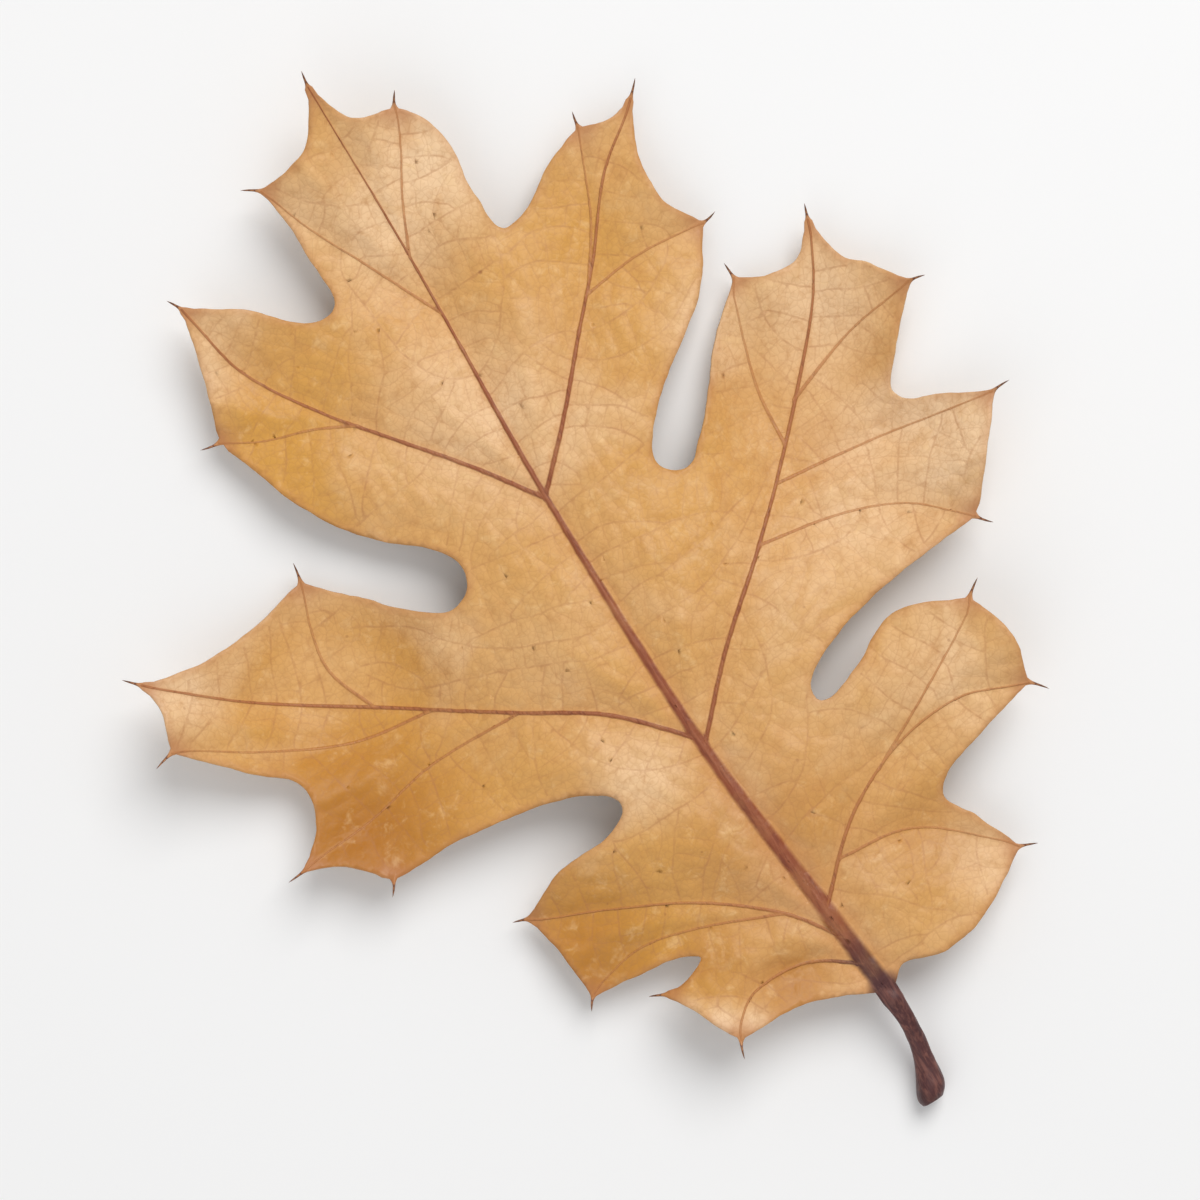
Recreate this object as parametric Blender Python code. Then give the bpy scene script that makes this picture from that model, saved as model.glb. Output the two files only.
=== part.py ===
"""A dried autumn oak leaf, as picked, lying on a flat surface.

It grew as one piece: a lobed blade whose teeth end in bristles, the midrib and side veins raised
from it, most of all underneath, and the stalk with its swollen foot. The leaf points along +Y with
its upper face up, and the origin is under the middle of its bounding box, on the surface.
"""

import math

import bmesh
import bpy
import numpy as np
from mathutils import Vector, geometry

# Lengths are in millimetres up to the last step, which scales the leaf to metres.
MM = 0.001

BLADE_THICKNESS = 0.7
MARGIN_STEP = 1.5
VEIN_STEP = 1.9
GRID_STEP = 2.7
# How far the points of each kind keep from the margin and from the points before them.
SPOT_CLEAR = (0.5, 0.5)
RIDGE_CLEAR = (0.35, 0.7)
FLANK_CLEAR = (0.5, 0.75)
GRID_CLEAR = (1.1, 1.45)
FILL_TOLERANCE = 1e-5
SLOPE_STEP = 0.2

BRISTLE_LENGTH = 1.4
BRISTLE_ROOT = 0.6

# The margin starts right of the stalk, runs up to the tip and comes back down the left side.
# Each tooth is followed by the points that the edge passes in a smooth curve to the next tooth.
MARGIN_START = ((2.7, 11.2), ((4.3, 12.4), (8.2, 11.3), (13.5, 12.6)))
BASAL_RIGHT_LOBE = (
    ((18.7, 15.7), ((16.9, 20.0), (15.4, 23.8), (21.0, 26.4))),
    ((27.1, 28.0), ((27.9, 32.5),)),
    ((26.6, 37.4), ((20.2, 39.7), (13.0, 36.8), (10.3, 36.5), (10.3, 38.2), (13.2, 40.1), (21.0, 42.3))),
)
MIDDLE_RIGHT_LOBE = (
    ((30.9, 43.2), ((34.4, 47.4),)),
    ((38.0, 52.0), ((34.0, 54.2), (30.6, 56.4), (32.6, 59.6))),
    ((37.0, 64.4), ((34.8, 67.6), (33.0, 69.6))),
    ((32.2, 74.0), ((29.4, 71.5), (26.6, 71.6))),
    ((23.8, 73.0), ((19.7, 69.4), (13.6, 62.4), (10.9, 60.6), (9.0, 62.8), (12.3, 67.2), (20.3, 73.4))),
)
UPPER_RIGHT_LOBE = (
    ((24.0, 78.7), ((21.9, 82.6), (22.3, 87.2))),
    ((24.3, 91.7), ((21.4, 91.0),)),
    ((18.9, 92.0), ((14.9, 90.5), (8.8, 87.6), (7.7, 91.5), (8.2, 97.0), (7.4, 99.8))),
)
END_LOBE = (
    ((5.7, 102.0), ((2.9, 102.4), (1.3, 103.7))),
    ((0.0, 107.3), ((-2.8, 103.2), (-5.4, 102.1))),
    ((-8.5, 101.8), ((-8.0, 95.5), (-9.1, 89.2), (-15.8, 93.8))),
)
UPPER_LEFT_LOBE = (
    ((-20.2, 96.6), ((-21.7, 90.5),)),
    (
        (-23.7, 84.7),
        ((-19.8, 74.6), (-16.4, 70.0), (-11.2, 64.8), (-11.4, 61.8), (-14.4, 61.0), (-19.6, 65.4)),
    ),
)
MIDDLE_LEFT_LOBE = (
    ((-24.1, 70.2), ((-30.5, 68.7), (-36.0, 68.6))),
    ((-40.8, 69.6), ((-40.6, 66.4),)),
    ((-41.7, 63.0), ((-37.2, 58.2), (-33.5, 54.2), (-34.4, 50.6))),
    ((-37.1, 47.8), ((-33.6, 45.9),)),
    ((-30.9, 42.8), ((-22.4, 42.6), (-12.6, 40.5), (-9.9, 38.0), (-12.5, 36.1), (-17.9, 35.6))),
)
BASAL_LEFT_LOBE = (
    ((-22.6, 33.4), ((-21.6, 29.0),)),
    ((-21.2, 24.4), ((-15.5, 23.8), (-11.1, 22.6), (-13.0, 21.4))),
    ((-15.4, 21.2), ((-13.7, 18.2),)),
    ((-11.8, 14.3), ((-7.0, 14.3), (-3.0, 13.2))),
)
MARGIN_END = (0.7, 11.4)
LOBES = (
    BASAL_RIGHT_LOBE
    + MIDDLE_RIGHT_LOBE
    + UPPER_RIGHT_LOBE
    + END_LOBE
    + UPPER_LEFT_LOBE
    + MIDDLE_LEFT_LOBE
    + BASAL_LEFT_LOBE
)

# Every vein runs from where it leaves its parent to a tooth.
MIDRIB = ((1.7, 11.3), (0.7, 21.8), (-0.9, 39.5), (-1.1, 64.5), (-0.2, 90.0), (0.0, 105.5))
LOBE_VEINS = (
    ((1.5, 14.0), (-3.2, 17.0), (-8.6, 17.2), (-11.2, 15.4)),
    ((1.1, 16.9), (-2.5, 21.8), (-8.8, 26.8), (-15.9, 30.4), (-21.4, 32.7)),
    ((-1.0, 39.5), (-6.7, 45.4), (-13.4, 49.7), (-24.4, 57.0), (-33.2, 62.9), (-39.6, 68.4)),
    ((-1.1, 64.8), (-5.2, 70.6), (-10.0, 76.6), (-14.4, 82.1), (-18.6, 89.0), (-19.9, 95.0)),
    ((-1.0, 65.2), (4.5, 70.8), (9.2, 76.1), (13.8, 81.1), (18.8, 87.3), (23.2, 90.7)),
    ((-0.8, 38.4), (5.5, 44.9), (11.9, 50.3), (17.5, 55.4), (23.7, 61.7), (29.0, 67.8), (31.7, 72.6)),
    ((0.9, 20.2), (7.1, 26.0), (14.0, 29.4), (20.8, 30.2), (25.8, 28.5)),
)
BRANCH_VEINS = (
    ((-2.5, 21.8), (-9.4, 24.6), (-15.0, 25.9), (-19.9, 25.0)),
    ((-13.4, 49.7), (-22.6, 49.8), (-29.9, 48.4), (-35.6, 48.0)),
    ((-20.0, 54.0), (-27.6, 55.2), (-35.0, 58.8), (-40.4, 62.4)),
    ((-24.4, 57.0), (-26.2, 62.0), (-25.6, 66.0), (-24.5, 69.0)),
    ((-12.2, 79.4), (-15.8, 81.2), (-20.0, 82.6), (-22.6, 84.0)),
    ((-0.4, 84.0), (-3.9, 91.4), (-6.6, 96.8), (-8.0, 100.6)),
    ((-0.2, 90.0), (2.0, 94.8), (4.2, 98.6), (5.3, 100.8)),
    ((11.5, 78.6), (17.0, 79.3), (22.8, 78.9)),
    ((12.4, 79.6), (15.6, 84.4), (18.3, 90.6)),
    ((12.9, 51.2), (20.8, 49.7), (26.4, 47.4), (30.0, 44.1)),
    ((17.2, 55.1), (26.5, 54.0), (36.6, 52.2)),
    ((22.7, 60.8), (30.2, 63.4), (35.8, 64.2)),
    ((19.8, 57.6), (20.4, 63.6), (22.9, 71.6)),
    ((4.2, 23.5), (11.3, 22.3), (17.7, 17.0)),
    ((11.5, 28.4), (18.8, 32.3), (25.6, 36.2)),
)

# How far each kind of vein spreads to its two sides, and stands out below and above the blade.
# The first value is for the vein's root and the second for its tip.
MIDRIB_SPREAD = (2.0, 0.8)
MIDRIB_BELOW = (1.0, 0.25)
MIDRIB_ABOVE = (0.6, 0.15)
LOBE_VEIN_SPREAD = (1.4, 0.7)
LOBE_VEIN_BELOW = (0.6, 0.15)
LOBE_VEIN_ABOVE = (0.35, 0.1)
BRANCH_SPREAD = (1.0, 0.6)
BRANCH_BELOW = (0.35, 0.1)
BRANCH_ABOVE = (0.2, 0.06)

# The dried blade bulges between its veins, and waves and curls as a whole.
PANEL_BULGE = 0.9
PANEL_REACH = 6.0
ARCH_HEIGHT = 3.4
ARCH_MIDDLE = 42.0
ARCH_HALF_LENGTH = 46.0
ARCH_AT_SIDES = 0.35
SIDE_WAVE_LENGTH = 50.0
TIP_CURL = 6.0
TIP_CURL_FROM = 82.0
LOBE_CURL = 2.4
LOBE_CURL_FROM = 27.0
EDGE_WAVE = 1.3
EDGE_WAVE_LENGTH = 33.0
EDGE_WAVE_SHIFT = 0.8
# Where single lobes and teeth curl further up or down: place, reach and height.
CURLS = (
    ((-13.0, 13.5), 11.0, 2.6),
    ((-24.0, 30.0), 13.0, -0.8),
    ((28.0, 30.0), 18.0, 2.4),
    ((-43.0, 66.0), 19.0, 2.0),
    ((-37.0, 45.0), 13.0, -1.2),
    ((39.0, 50.0), 15.0, 1.8),
    ((35.0, 70.0), 12.0, -1.4),
    ((-22.0, 97.0), 15.0, 2.2),
    ((25.0, 88.0), 14.0, 0.8),
    ((-25.2, 60.4), 24.0, -2.4),
    ((23.7, 61.7), 24.0, -2.8),
)
LEAF_HALF_WIDTH = 40.0
LEAF_LENGTH = 107.3

# It rests on the foot of the stalk and on a small flat spot under each middle lobe.
REST_SPOTS = ((-25.2, 60.4), (23.7, 61.7))
SPOT_RADIUS = 1.4
SPOT_RIM_POINTS = 6
SPOT_REACH = 10.0
SPOT_CLEARANCE = 0.4
SPOT_VEIN_DEPTH = 0.36

# The stalk's sections, from the blade to the foot: distance from the blade and radius.
STALK_SECTIONS = (
    (1.2, 1.00),
    (2.6, 0.85),
    (4.2, 0.80),
    (5.8, 0.80),
    (7.2, 0.90),
    (8.4, 1.15),
    (9.4, 1.50),
    (10.3, 1.65),
    (11.1, 1.45),
)
STALK_LENGTH = 11.3
STALK_BEND = 0.8
STALK_ROUND_AT = 3
STALK_LEVEL_AT = 0.9
BASE_POINTS = 5
RIM_TOLERANCE = 0.2
FOOT_SCAR_INSET = 0.5
FOOT_SCAR_DEPTH = 0.25

SHARP_ANGLE = math.radians(50)
LEAF_COLOUR = (0.62, 0.34, 0.12, 1.0)
LEAF_ROUGHNESS = 0.6


def smooth_step(value):
    t = np.clip(value, 0.0, 1.0)
    return t * t * (3.0 - 2.0 * t)


def bezier_chain(points, step):
    """Points about a step apart on a smooth curve through the given ones, without the last."""
    knots = [Vector(p) for p in points]
    tangents = []
    for i, knot in enumerate(knots):
        before = knots[max(i - 1, 0)]
        after = knots[min(i + 1, len(knots) - 1)]
        tangents.append((after - before).normalized())
    chain = []
    for a, b, leaving, arriving in zip(knots, knots[1:], tangents, tangents[1:]):
        reach = (b - a).length / 3.0
        count = max(2, round((b - a).length / step))
        run = geometry.interpolate_bezier(a, a + leaving * reach, b - arriving * reach, b, count + 1)
        chain.extend(Vector(p[:2]) for p in run[:-1])
    return chain


def bristle(before, tooth, after):
    """The three points of a bristle at a tooth, between the edge's neighbouring points."""
    back = (before - tooth).normalized()
    ahead = (after - tooth).normalized()
    outwards = -(back + ahead).normalized()
    return [
        tooth + back * BRISTLE_ROOT,
        tooth + outwards * BRISTLE_LENGTH,
        tooth + ahead * BRISTLE_ROOT,
    ]


def base_edge():
    """The points of the blade's edge under the stalk, between the margin's end and its start."""
    end, start = Vector(MARGIN_END), Vector(MARGIN_START[0])
    return [end.lerp(start, i / (BASE_POINTS - 1)) for i in range(1, BASE_POINTS - 1)]


def margin_loop():
    """The closed outline of the blade, counterclockwise, from the right of the stalk."""
    spans = [MARGIN_START, *LOBES]
    corners = [corner for corner, _ in spans[1:]] + [MARGIN_END]
    loop = []
    for (corner, passed), following in zip(spans, corners):
        run = bezier_chain((corner, *passed, following), MARGIN_STEP)
        if loop:
            loop.extend(bristle(loop[-1], run[0], run[1]))
            loop.extend(run[1:])
        else:
            loop.extend(run)
    return [*loop, Vector(MARGIN_END), *base_edge()]


def to_chain(points, chain):
    """For each point, its distance to a chain and how far along the chain that is, from 0 to 1."""
    points, chain = np.asarray(points), np.asarray(chain)
    starts, spans = chain[:-1], np.diff(chain, axis=0)
    squares = np.maximum((spans**2).sum(axis=1), 1e-12)
    along = ((points[:, None] - starts) * spans).sum(axis=2) / squares
    along = np.clip(along, 0.0, 1.0)
    nearest = starts + along[..., None] * spans
    distances = np.linalg.norm(points[:, None] - nearest, axis=2)
    best = distances.argmin(axis=1)
    rows = np.arange(len(points))
    return distances[rows, best], (best + along[rows, best]) / len(spans)


def is_inside(points, loop):
    """Whether each point lies inside the closed loop."""
    points, ends = np.asarray(points), np.asarray(loop)
    starts = np.roll(ends, 1, axis=0)
    x, y = points[:, :1], points[:, 1:]
    crosses = (starts[:, 1] > y) != (ends[:, 1] > y)
    rises = np.where(ends[:, 1] == starts[:, 1], 1.0, ends[:, 1] - starts[:, 1])
    meets = starts[:, 0] + (y - starts[:, 1]) * (ends[:, 0] - starts[:, 0]) / rises
    return (crosses & (x < meets)).sum(axis=1) % 2 == 1


class Vein:
    """A vein's line, with its spread and its height below and above the blade."""

    def __init__(self, points, spread, below, above):
        chain = bezier_chain(points, VEIN_STEP)
        self.chain = np.array([tuple(p) for p in chain] + [points[-1]])
        self.spread = spread
        self.below = below
        self.above = above

    def ridge(self, points, heights):
        """The ridge's height at each point, from its root and tip heights."""
        distance, along = to_chain(points, self.chain)
        spread = np.interp(along, (0.0, 1.0), self.spread)
        height = np.interp(along, (0.0, 1.0), heights)
        return height * smooth_step(1.0 - distance / spread)

    def flanks(self):
        """The points at the two feet of the ridge."""
        directions = np.gradient(self.chain, axis=0)
        directions /= np.linalg.norm(directions, axis=1)[:, None]
        sideways = np.stack([-directions[:, 1], directions[:, 0]], axis=1)
        along = np.linspace(0.0, 1.0, len(self.chain))
        offset = np.interp(along, (0.0, 1.0), self.spread)[:, None] * sideways
        return np.concatenate([self.chain + offset, self.chain - offset])


def all_veins():
    veins = [Vein(MIDRIB, MIDRIB_SPREAD, MIDRIB_BELOW, MIDRIB_ABOVE)]
    veins += [Vein(p, LOBE_VEIN_SPREAD, LOBE_VEIN_BELOW, LOBE_VEIN_ABOVE) for p in LOBE_VEINS]
    veins += [Vein(p, BRANCH_SPREAD, BRANCH_BELOW, BRANCH_ABOVE) for p in BRANCH_VEINS]
    return veins


def spot_points():
    """The middle and the rim points of each flat spot under the blade."""
    points = []
    for x, y in REST_SPOTS:
        points.append((x, y))
        for i in range(SPOT_RIM_POINTS):
            angle = math.tau * i / SPOT_RIM_POINTS
            points.append((x + SPOT_RADIUS * math.cos(angle), y + SPOT_RADIUS * math.sin(angle)))
    return np.array(points)


def grid_points():
    """A triangular grid over the whole leaf."""
    rows = []
    row_step = GRID_STEP * math.sqrt(0.75)
    for row in range(int(LEAF_LENGTH / row_step) + 1):
        shift = GRID_STEP / 2 if row % 2 else 0.0
        across = np.arange(-LEAF_HALF_WIDTH - GRID_STEP, LEAF_HALF_WIDTH, GRID_STEP) + shift
        rows.append(np.stack([across, np.full(len(across), row * row_step)], axis=1))
    return np.concatenate(rows)


class PointSet:
    """The blade's points, where each new one keeps clear of those before it."""

    def __init__(self, loop):
        self.loop = np.array([tuple(p) for p in loop])
        self.points = list(self.loop)

    def add(self, points, clear):
        """The index of each point that was added, or None where it was left out."""
        clear_of_margin, clear_of_points = clear
        closed = np.vstack([self.loop, self.loop[:1]])
        allowed = is_inside(points, self.loop) & (to_chain(points, closed)[0] > clear_of_margin)
        indices = []
        for point, good in zip(points, allowed):
            if good:
                gaps = np.linalg.norm(np.array(self.points) - point, axis=1)
                good = gaps.min() > clear_of_points
            indices.append(len(self.points) if good else None)
            if good:
                self.points.append(point)
        return indices


def flat_blade(veins):
    """The outline, filled with triangles that follow the veins: its points and triangles."""
    points = PointSet(margin_loop())
    points.add(spot_points(), SPOT_CLEAR)
    ridge_edges = []
    for vein in veins:
        indices = points.add(vein.chain, RIDGE_CLEAR)
        ridge_edges += [(a, b) for a, b in zip(indices, indices[1:]) if a is not None and b is not None]
    for vein in veins:
        points.add(vein.flanks(), FLANK_CLEAR)
    points.add(grid_points(), GRID_CLEAR)
    outline = list(range(len(points.loop)))
    coordinates = [Vector(p) for p in points.points]
    filled = geometry.delaunay_2d_cdt(coordinates, ridge_edges, [outline], 1, FILL_TOLERANCE)
    return np.array([tuple(p) for p in filled[0]]), filled[2]


def midrib_height(y):
    """The arch of the midrib, which curls up again towards the tip."""
    arch = ARCH_HEIGHT * np.cos(math.pi / 2 * np.clip((y - ARCH_MIDDLE) / ARCH_HALF_LENGTH, -1.0, 1.0))
    curl = np.maximum(y - TIP_CURL_FROM, 0.0) / (LEAF_LENGTH - TIP_CURL_FROM)
    return arch + TIP_CURL * curl**2


def wave_height(x, y):
    """The waves and curls of the whole blade, without its veins."""
    side = np.abs(x)
    across = (1.0 + np.cos(math.tau * x / SIDE_WAVE_LENGTH)) / 2.0
    height = midrib_height(y) * (ARCH_AT_SIDES + (1.0 - ARCH_AT_SIDES) * across)
    past = np.maximum(side - LOBE_CURL_FROM, 0.0) / (LEAF_HALF_WIDTH - LOBE_CURL_FROM)
    height = height + LOBE_CURL * past**2
    wave = np.sin(math.tau * y / EDGE_WAVE_LENGTH + np.sign(x) * EDGE_WAVE_SHIFT)
    height = height + EDGE_WAVE * (side / LEAF_HALF_WIDTH) ** 1.5 * wave
    for (curl_x, curl_y), reach, rise in CURLS:
        height = height + rise * smooth_step(1.0 - np.hypot(x - curl_x, y - curl_y) / reach)
    return height


def relaxed_height(points, veins):
    """The middle of the blade's thickness, with the blade bulging between its veins."""
    nearest = np.min([to_chain(points, vein.chain)[0] for vein in veins], axis=0)
    bulge = PANEL_BULGE * smooth_step(nearest / PANEL_REACH)
    return wave_height(points[:, 0], points[:, 1]) + bulge


def ridge_height(points, veins, side):
    """How far the veins stand out from the blade's face at each point, below or above."""
    return np.max([vein.ridge(points, getattr(vein, side)) for vein in veins], axis=0)


class Surface:
    """The blade's surface, lifted until it rests on its spots."""

    def __init__(self, points, veins):
        self.veins = veins
        underside = relaxed_height(points, veins) - self.depth(points)
        self.lift = SPOT_CLEARANCE - underside.min()

    def depth(self, points):
        """From the middle of the thickness to the underside."""
        return BLADE_THICKNESS / 2 + ridge_height(points, self.veins, "below")

    def rise(self, points):
        """From the middle of the thickness to the upper face."""
        return BLADE_THICKNESS / 2 + ridge_height(points, self.veins, "above")

    def settled(self, points):
        """The middle of the thickness, let down to the resting surface at the spots."""
        height = relaxed_height(points, self.veins) + self.lift
        resting = BLADE_THICKNESS / 2 + SPOT_VEIN_DEPTH
        for spot in REST_SPOTS:
            gap = np.linalg.norm(points - np.array(spot), axis=1)
            share = smooth_step(1.0 - (gap - SPOT_RADIUS) / (SPOT_REACH - SPOT_RADIUS))
            height = height + (resting - height) * share
        return height

    def normals(self, points):
        """The surface's upward unit normals, from its slopes along X and Y."""
        slopes = []
        for step in (np.array([SLOPE_STEP, 0.0]), np.array([0.0, SLOPE_STEP])):
            rise = self.settled(points + step) - self.settled(points - step)
            slopes.append(rise / (2 * SLOPE_STEP))
        normals = np.stack([-slopes[0], -slopes[1], np.ones(len(points))], axis=1)
        return normals / np.linalg.norm(normals, axis=1)[:, None]

    def place(self, points, is_upper):
        """The points of the upper face, or of the underside."""
        middle = np.column_stack([points, self.settled(points)])
        if is_upper:
            return middle + self.normals(points) * self.rise(points)[:, None]
        placed = middle - self.normals(points) * self.depth(points)[:, None]
        for spot in REST_SPOTS:
            on_spot = np.linalg.norm(points - np.array(spot), axis=1) < SPOT_RADIUS * 1.01
            placed[on_spot] = np.column_stack([points[on_spot], np.zeros(on_spot.sum())])
        return placed


def thick_blade(points, triangles, surface):
    """A closed blade, split into the same triangles on its underside and its upper face."""
    bm = bmesh.new()
    flat = [bm.verts.new((x, y, 0.0)) for x, y in points]
    faces = [bm.faces.new([flat[i] for i in triangle]) for triangle in triangles]
    bmesh.ops.recalc_face_normals(bm, faces=faces)
    grown = bmesh.ops.extrude_face_region(bm, geom=faces)["geom"]
    upper = [item for item in grown if isinstance(item, bmesh.types.BMVert)]
    in_plane = np.array([v.co[:2] for v in upper])
    for vert, place in zip(upper, surface.place(in_plane, True)):
        vert.co = place
    for vert, place in zip(flat, surface.place(points, False)):
        vert.co = place
    return bm


def stalk_opening(bm, start, end):
    """The blade's rim under the stalk, opened, as the edges round the hole."""
    middle = (start + end) / 2
    across = (start - end).normalized()
    half = (start - end).length / 2 + RIM_TOLERANCE

    def on_base(vert):
        offset = Vector(vert.co[:2]) - middle
        return abs(offset.dot(across)) < half and abs(offset.cross(across)) < RIM_TOLERANCE

    rim = [face for face in bm.faces if all(on_base(vert) for vert in face.verts)]
    bmesh.ops.delete(bm, geom=rim, context="FACES_ONLY")
    return [edge for edge in bm.edges if edge.is_boundary]


def move_ring(verts, centre, radius, roundness):
    """Shapes a ring of the stalk, which is the blade's edge at first and a circle in the end."""
    old = sum((v.co for v in verts), Vector()) / len(verts)
    for vert in verts:
        offset = vert.co - old
        offset.y = 0.0
        vert.co = centre + offset.lerp(offset.normalized() * radius, roundness)


def grow_stalk(bm, surface):
    """The stalk, grown ring by ring out of the blade's open base to its swollen foot."""
    start, end = Vector(MARGIN_START[0]), Vector(MARGIN_END)
    edges = stalk_opening(bm, start, end)
    joint = (start + end) / 2
    joint_height = surface.settled(np.array([joint]))[0]
    foot_height = max(radius for _, radius in STALK_SECTIONS)
    for number, (distance, radius) in enumerate(STALK_SECTIONS, 1):
        grown = bmesh.ops.extrude_edge_only(bm, edges=edges)["geom"]
        verts = [item for item in grown if isinstance(item, bmesh.types.BMVert)]
        edges = [e for e in grown if isinstance(e, bmesh.types.BMEdge) and all(v in verts for v in e.verts)]
        share = distance / STALK_LENGTH
        centre = Vector((
            joint.x * (1.0 - share) + STALK_BEND * math.sin(math.pi * share),
            joint.y - distance,
            joint_height + (foot_height - joint_height) * float(smooth_step(share / STALK_LEVEL_AT)),
        ))
        move_ring(verts, centre, radius, min(1.0, number / STALK_ROUND_AT))
    close_foot(bm, edges)


def close_foot(bm, edges):
    """The shallow scar where the leaf let go of its twig."""
    cap = bmesh.ops.edgeloop_fill(bm, edges=edges)["faces"]
    bmesh.ops.recalc_face_normals(bm, faces=bm.faces)
    bmesh.ops.inset_region(bm, faces=cap, thickness=FOOT_SCAR_INSET, depth=-FOOT_SCAR_DEPTH)


def seat(bm):
    """Puts the origin under the middle of the leaf's box, and turns millimetres into metres."""
    corners = np.array([v.co for v in bm.verts])
    low, high = corners.min(axis=0), corners.max(axis=0)
    middle = Vector((low + high) / 2)
    middle.z = low[2]
    bmesh.ops.translate(bm, vec=-middle, verts=bm.verts)
    bmesh.ops.scale(bm, vec=(MM, MM, MM), verts=bm.verts)


def leaf_material():
    material = bpy.data.materials.new("dried_leaf")
    material.use_nodes = True
    shader = material.node_tree.nodes["Principled BSDF"]
    shader.inputs["Base Color"].default_value = LEAF_COLOUR
    shader.inputs["Roughness"].default_value = LEAF_ROUGHNESS
    shader.inputs["Metallic"].default_value = 0.0
    return material


def leaf_mesh():
    veins = all_veins()
    points, triangles = flat_blade(veins)
    surface = Surface(points, veins)
    bm = thick_blade(points, triangles, surface)
    grow_stalk(bm, surface)
    bmesh.ops.triangulate(bm, faces=bm.faces)
    bmesh.ops.recalc_face_normals(bm, faces=bm.faces)
    seat(bm)
    mesh = bpy.data.meshes.new("leaf")
    bm.to_mesh(mesh)
    bm.free()
    mesh.shade_smooth()
    mesh.set_sharp_from_angle(angle=SHARP_ANGLE)
    return mesh


def main():
    for item in list(bpy.data.objects):
        bpy.data.objects.remove(item)
    leaf = bpy.data.objects.new("leaf", leaf_mesh())
    leaf.data.materials.append(leaf_material())
    bpy.context.scene.collection.objects.link(leaf)


main()
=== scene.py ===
"""The looks of a dried autumn oak leaf, as picked, that lies on a pale studio floor.

The leaf is grown again on the outline and the waves of its solid, with what a real leaf has on top
of them: hair-thin bristles, a thin blade, rounded veins, the fine veins that cross between them and
the panels that pucker in between. Lengths are in millimetres up to the last step.
"""

import functools
import math
import random

import bmesh
import bpy
import numpy as np
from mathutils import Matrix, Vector, geometry, kdtree, noise


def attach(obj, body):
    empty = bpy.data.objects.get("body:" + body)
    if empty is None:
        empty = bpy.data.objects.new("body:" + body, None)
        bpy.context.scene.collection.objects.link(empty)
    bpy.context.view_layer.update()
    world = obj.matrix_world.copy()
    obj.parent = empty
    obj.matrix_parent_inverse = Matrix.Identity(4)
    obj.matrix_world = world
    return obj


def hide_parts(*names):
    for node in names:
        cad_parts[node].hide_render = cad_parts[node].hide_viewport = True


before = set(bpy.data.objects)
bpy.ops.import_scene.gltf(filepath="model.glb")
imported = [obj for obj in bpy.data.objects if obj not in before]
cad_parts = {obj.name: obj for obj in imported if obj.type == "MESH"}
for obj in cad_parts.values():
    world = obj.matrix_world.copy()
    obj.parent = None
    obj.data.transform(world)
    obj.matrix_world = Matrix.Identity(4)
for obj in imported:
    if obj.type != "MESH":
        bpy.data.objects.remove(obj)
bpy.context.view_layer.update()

bl_info = {
    "name": "Autumn Oak Leaf",
    "version": (1, 0, 0),
    "blender": (4, 5, 0),
    "location": "3D View > Sidebar > Leaf",
    "description": "Grows a dried oak leaf with its veins and bristles, and a studio to see it in",
    "category": "Object",
}

MM = 0.001

# From the leaf's own layout to the frame: the origin is under the middle of its box.
LAYOUT_SHIFT = (1.8586, -54.5472)

# The margin starts right of the stalk, runs up to the tip and comes back down the left side.
# Each tooth is followed by the points that the edge passes in a smooth curve to the next tooth.
MARGIN_START = ((2.7, 11.2), ((4.3, 12.4), (8.2, 11.3), (13.5, 12.6)))
BASAL_RIGHT_LOBE = (
    ((18.7, 15.7), ((16.9, 20.0), (15.4, 23.8), (21.0, 26.4))),
    ((27.1, 28.0), ((27.9, 32.5),)),
    (
        (26.6, 37.4),
        ((20.2, 39.7), (13.0, 36.8), (10.3, 36.5), (10.3, 38.2), (13.2, 40.1), (21.0, 42.3)),
    ),
)
MIDDLE_RIGHT_LOBE = (
    ((30.9, 43.2), ((34.4, 47.4),)),
    ((38.0, 52.0), ((34.0, 54.2), (30.6, 56.4), (32.6, 59.6))),
    ((37.0, 64.4), ((34.8, 67.6), (33.0, 69.6))),
    ((32.2, 74.0), ((29.4, 71.5), (26.6, 71.6))),
    (
        (23.8, 73.0),
        ((19.7, 69.4), (13.6, 62.4), (10.9, 60.6), (9.0, 62.8), (12.3, 67.2), (20.3, 73.4)),
    ),
)
UPPER_RIGHT_LOBE = (
    ((24.0, 78.7), ((21.9, 82.6), (22.3, 87.2))),
    ((24.3, 91.7), ((21.4, 91.0),)),
    ((18.9, 92.0), ((14.9, 90.5), (8.8, 87.6), (7.7, 91.5), (8.2, 97.0), (7.4, 99.8))),
)
END_LOBE = (
    ((5.7, 102.0), ((2.9, 102.4), (1.3, 103.7))),
    ((0.0, 107.3), ((-2.8, 103.2), (-5.4, 102.1))),
    ((-8.5, 101.8), ((-8.0, 95.5), (-9.1, 89.2), (-15.8, 93.8))),
)
UPPER_LEFT_LOBE = (
    ((-20.2, 96.6), ((-21.7, 90.5),)),
    (
        (-23.7, 84.7),
        ((-19.8, 74.6), (-16.4, 70.0), (-11.2, 64.8), (-11.4, 61.8), (-14.4, 61.0), (-19.6, 65.4)),
    ),
)
MIDDLE_LEFT_LOBE = (
    ((-24.1, 70.2), ((-30.5, 68.7), (-36.0, 68.6))),
    ((-40.8, 69.6), ((-40.6, 66.4),)),
    ((-41.7, 63.0), ((-37.2, 58.2), (-33.5, 54.2), (-34.4, 50.6))),
    ((-37.1, 47.8), ((-33.6, 45.9),)),
    ((-30.9, 42.8), ((-22.4, 42.6), (-12.6, 40.5), (-9.9, 38.0), (-12.5, 36.1), (-17.9, 35.6))),
)
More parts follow.
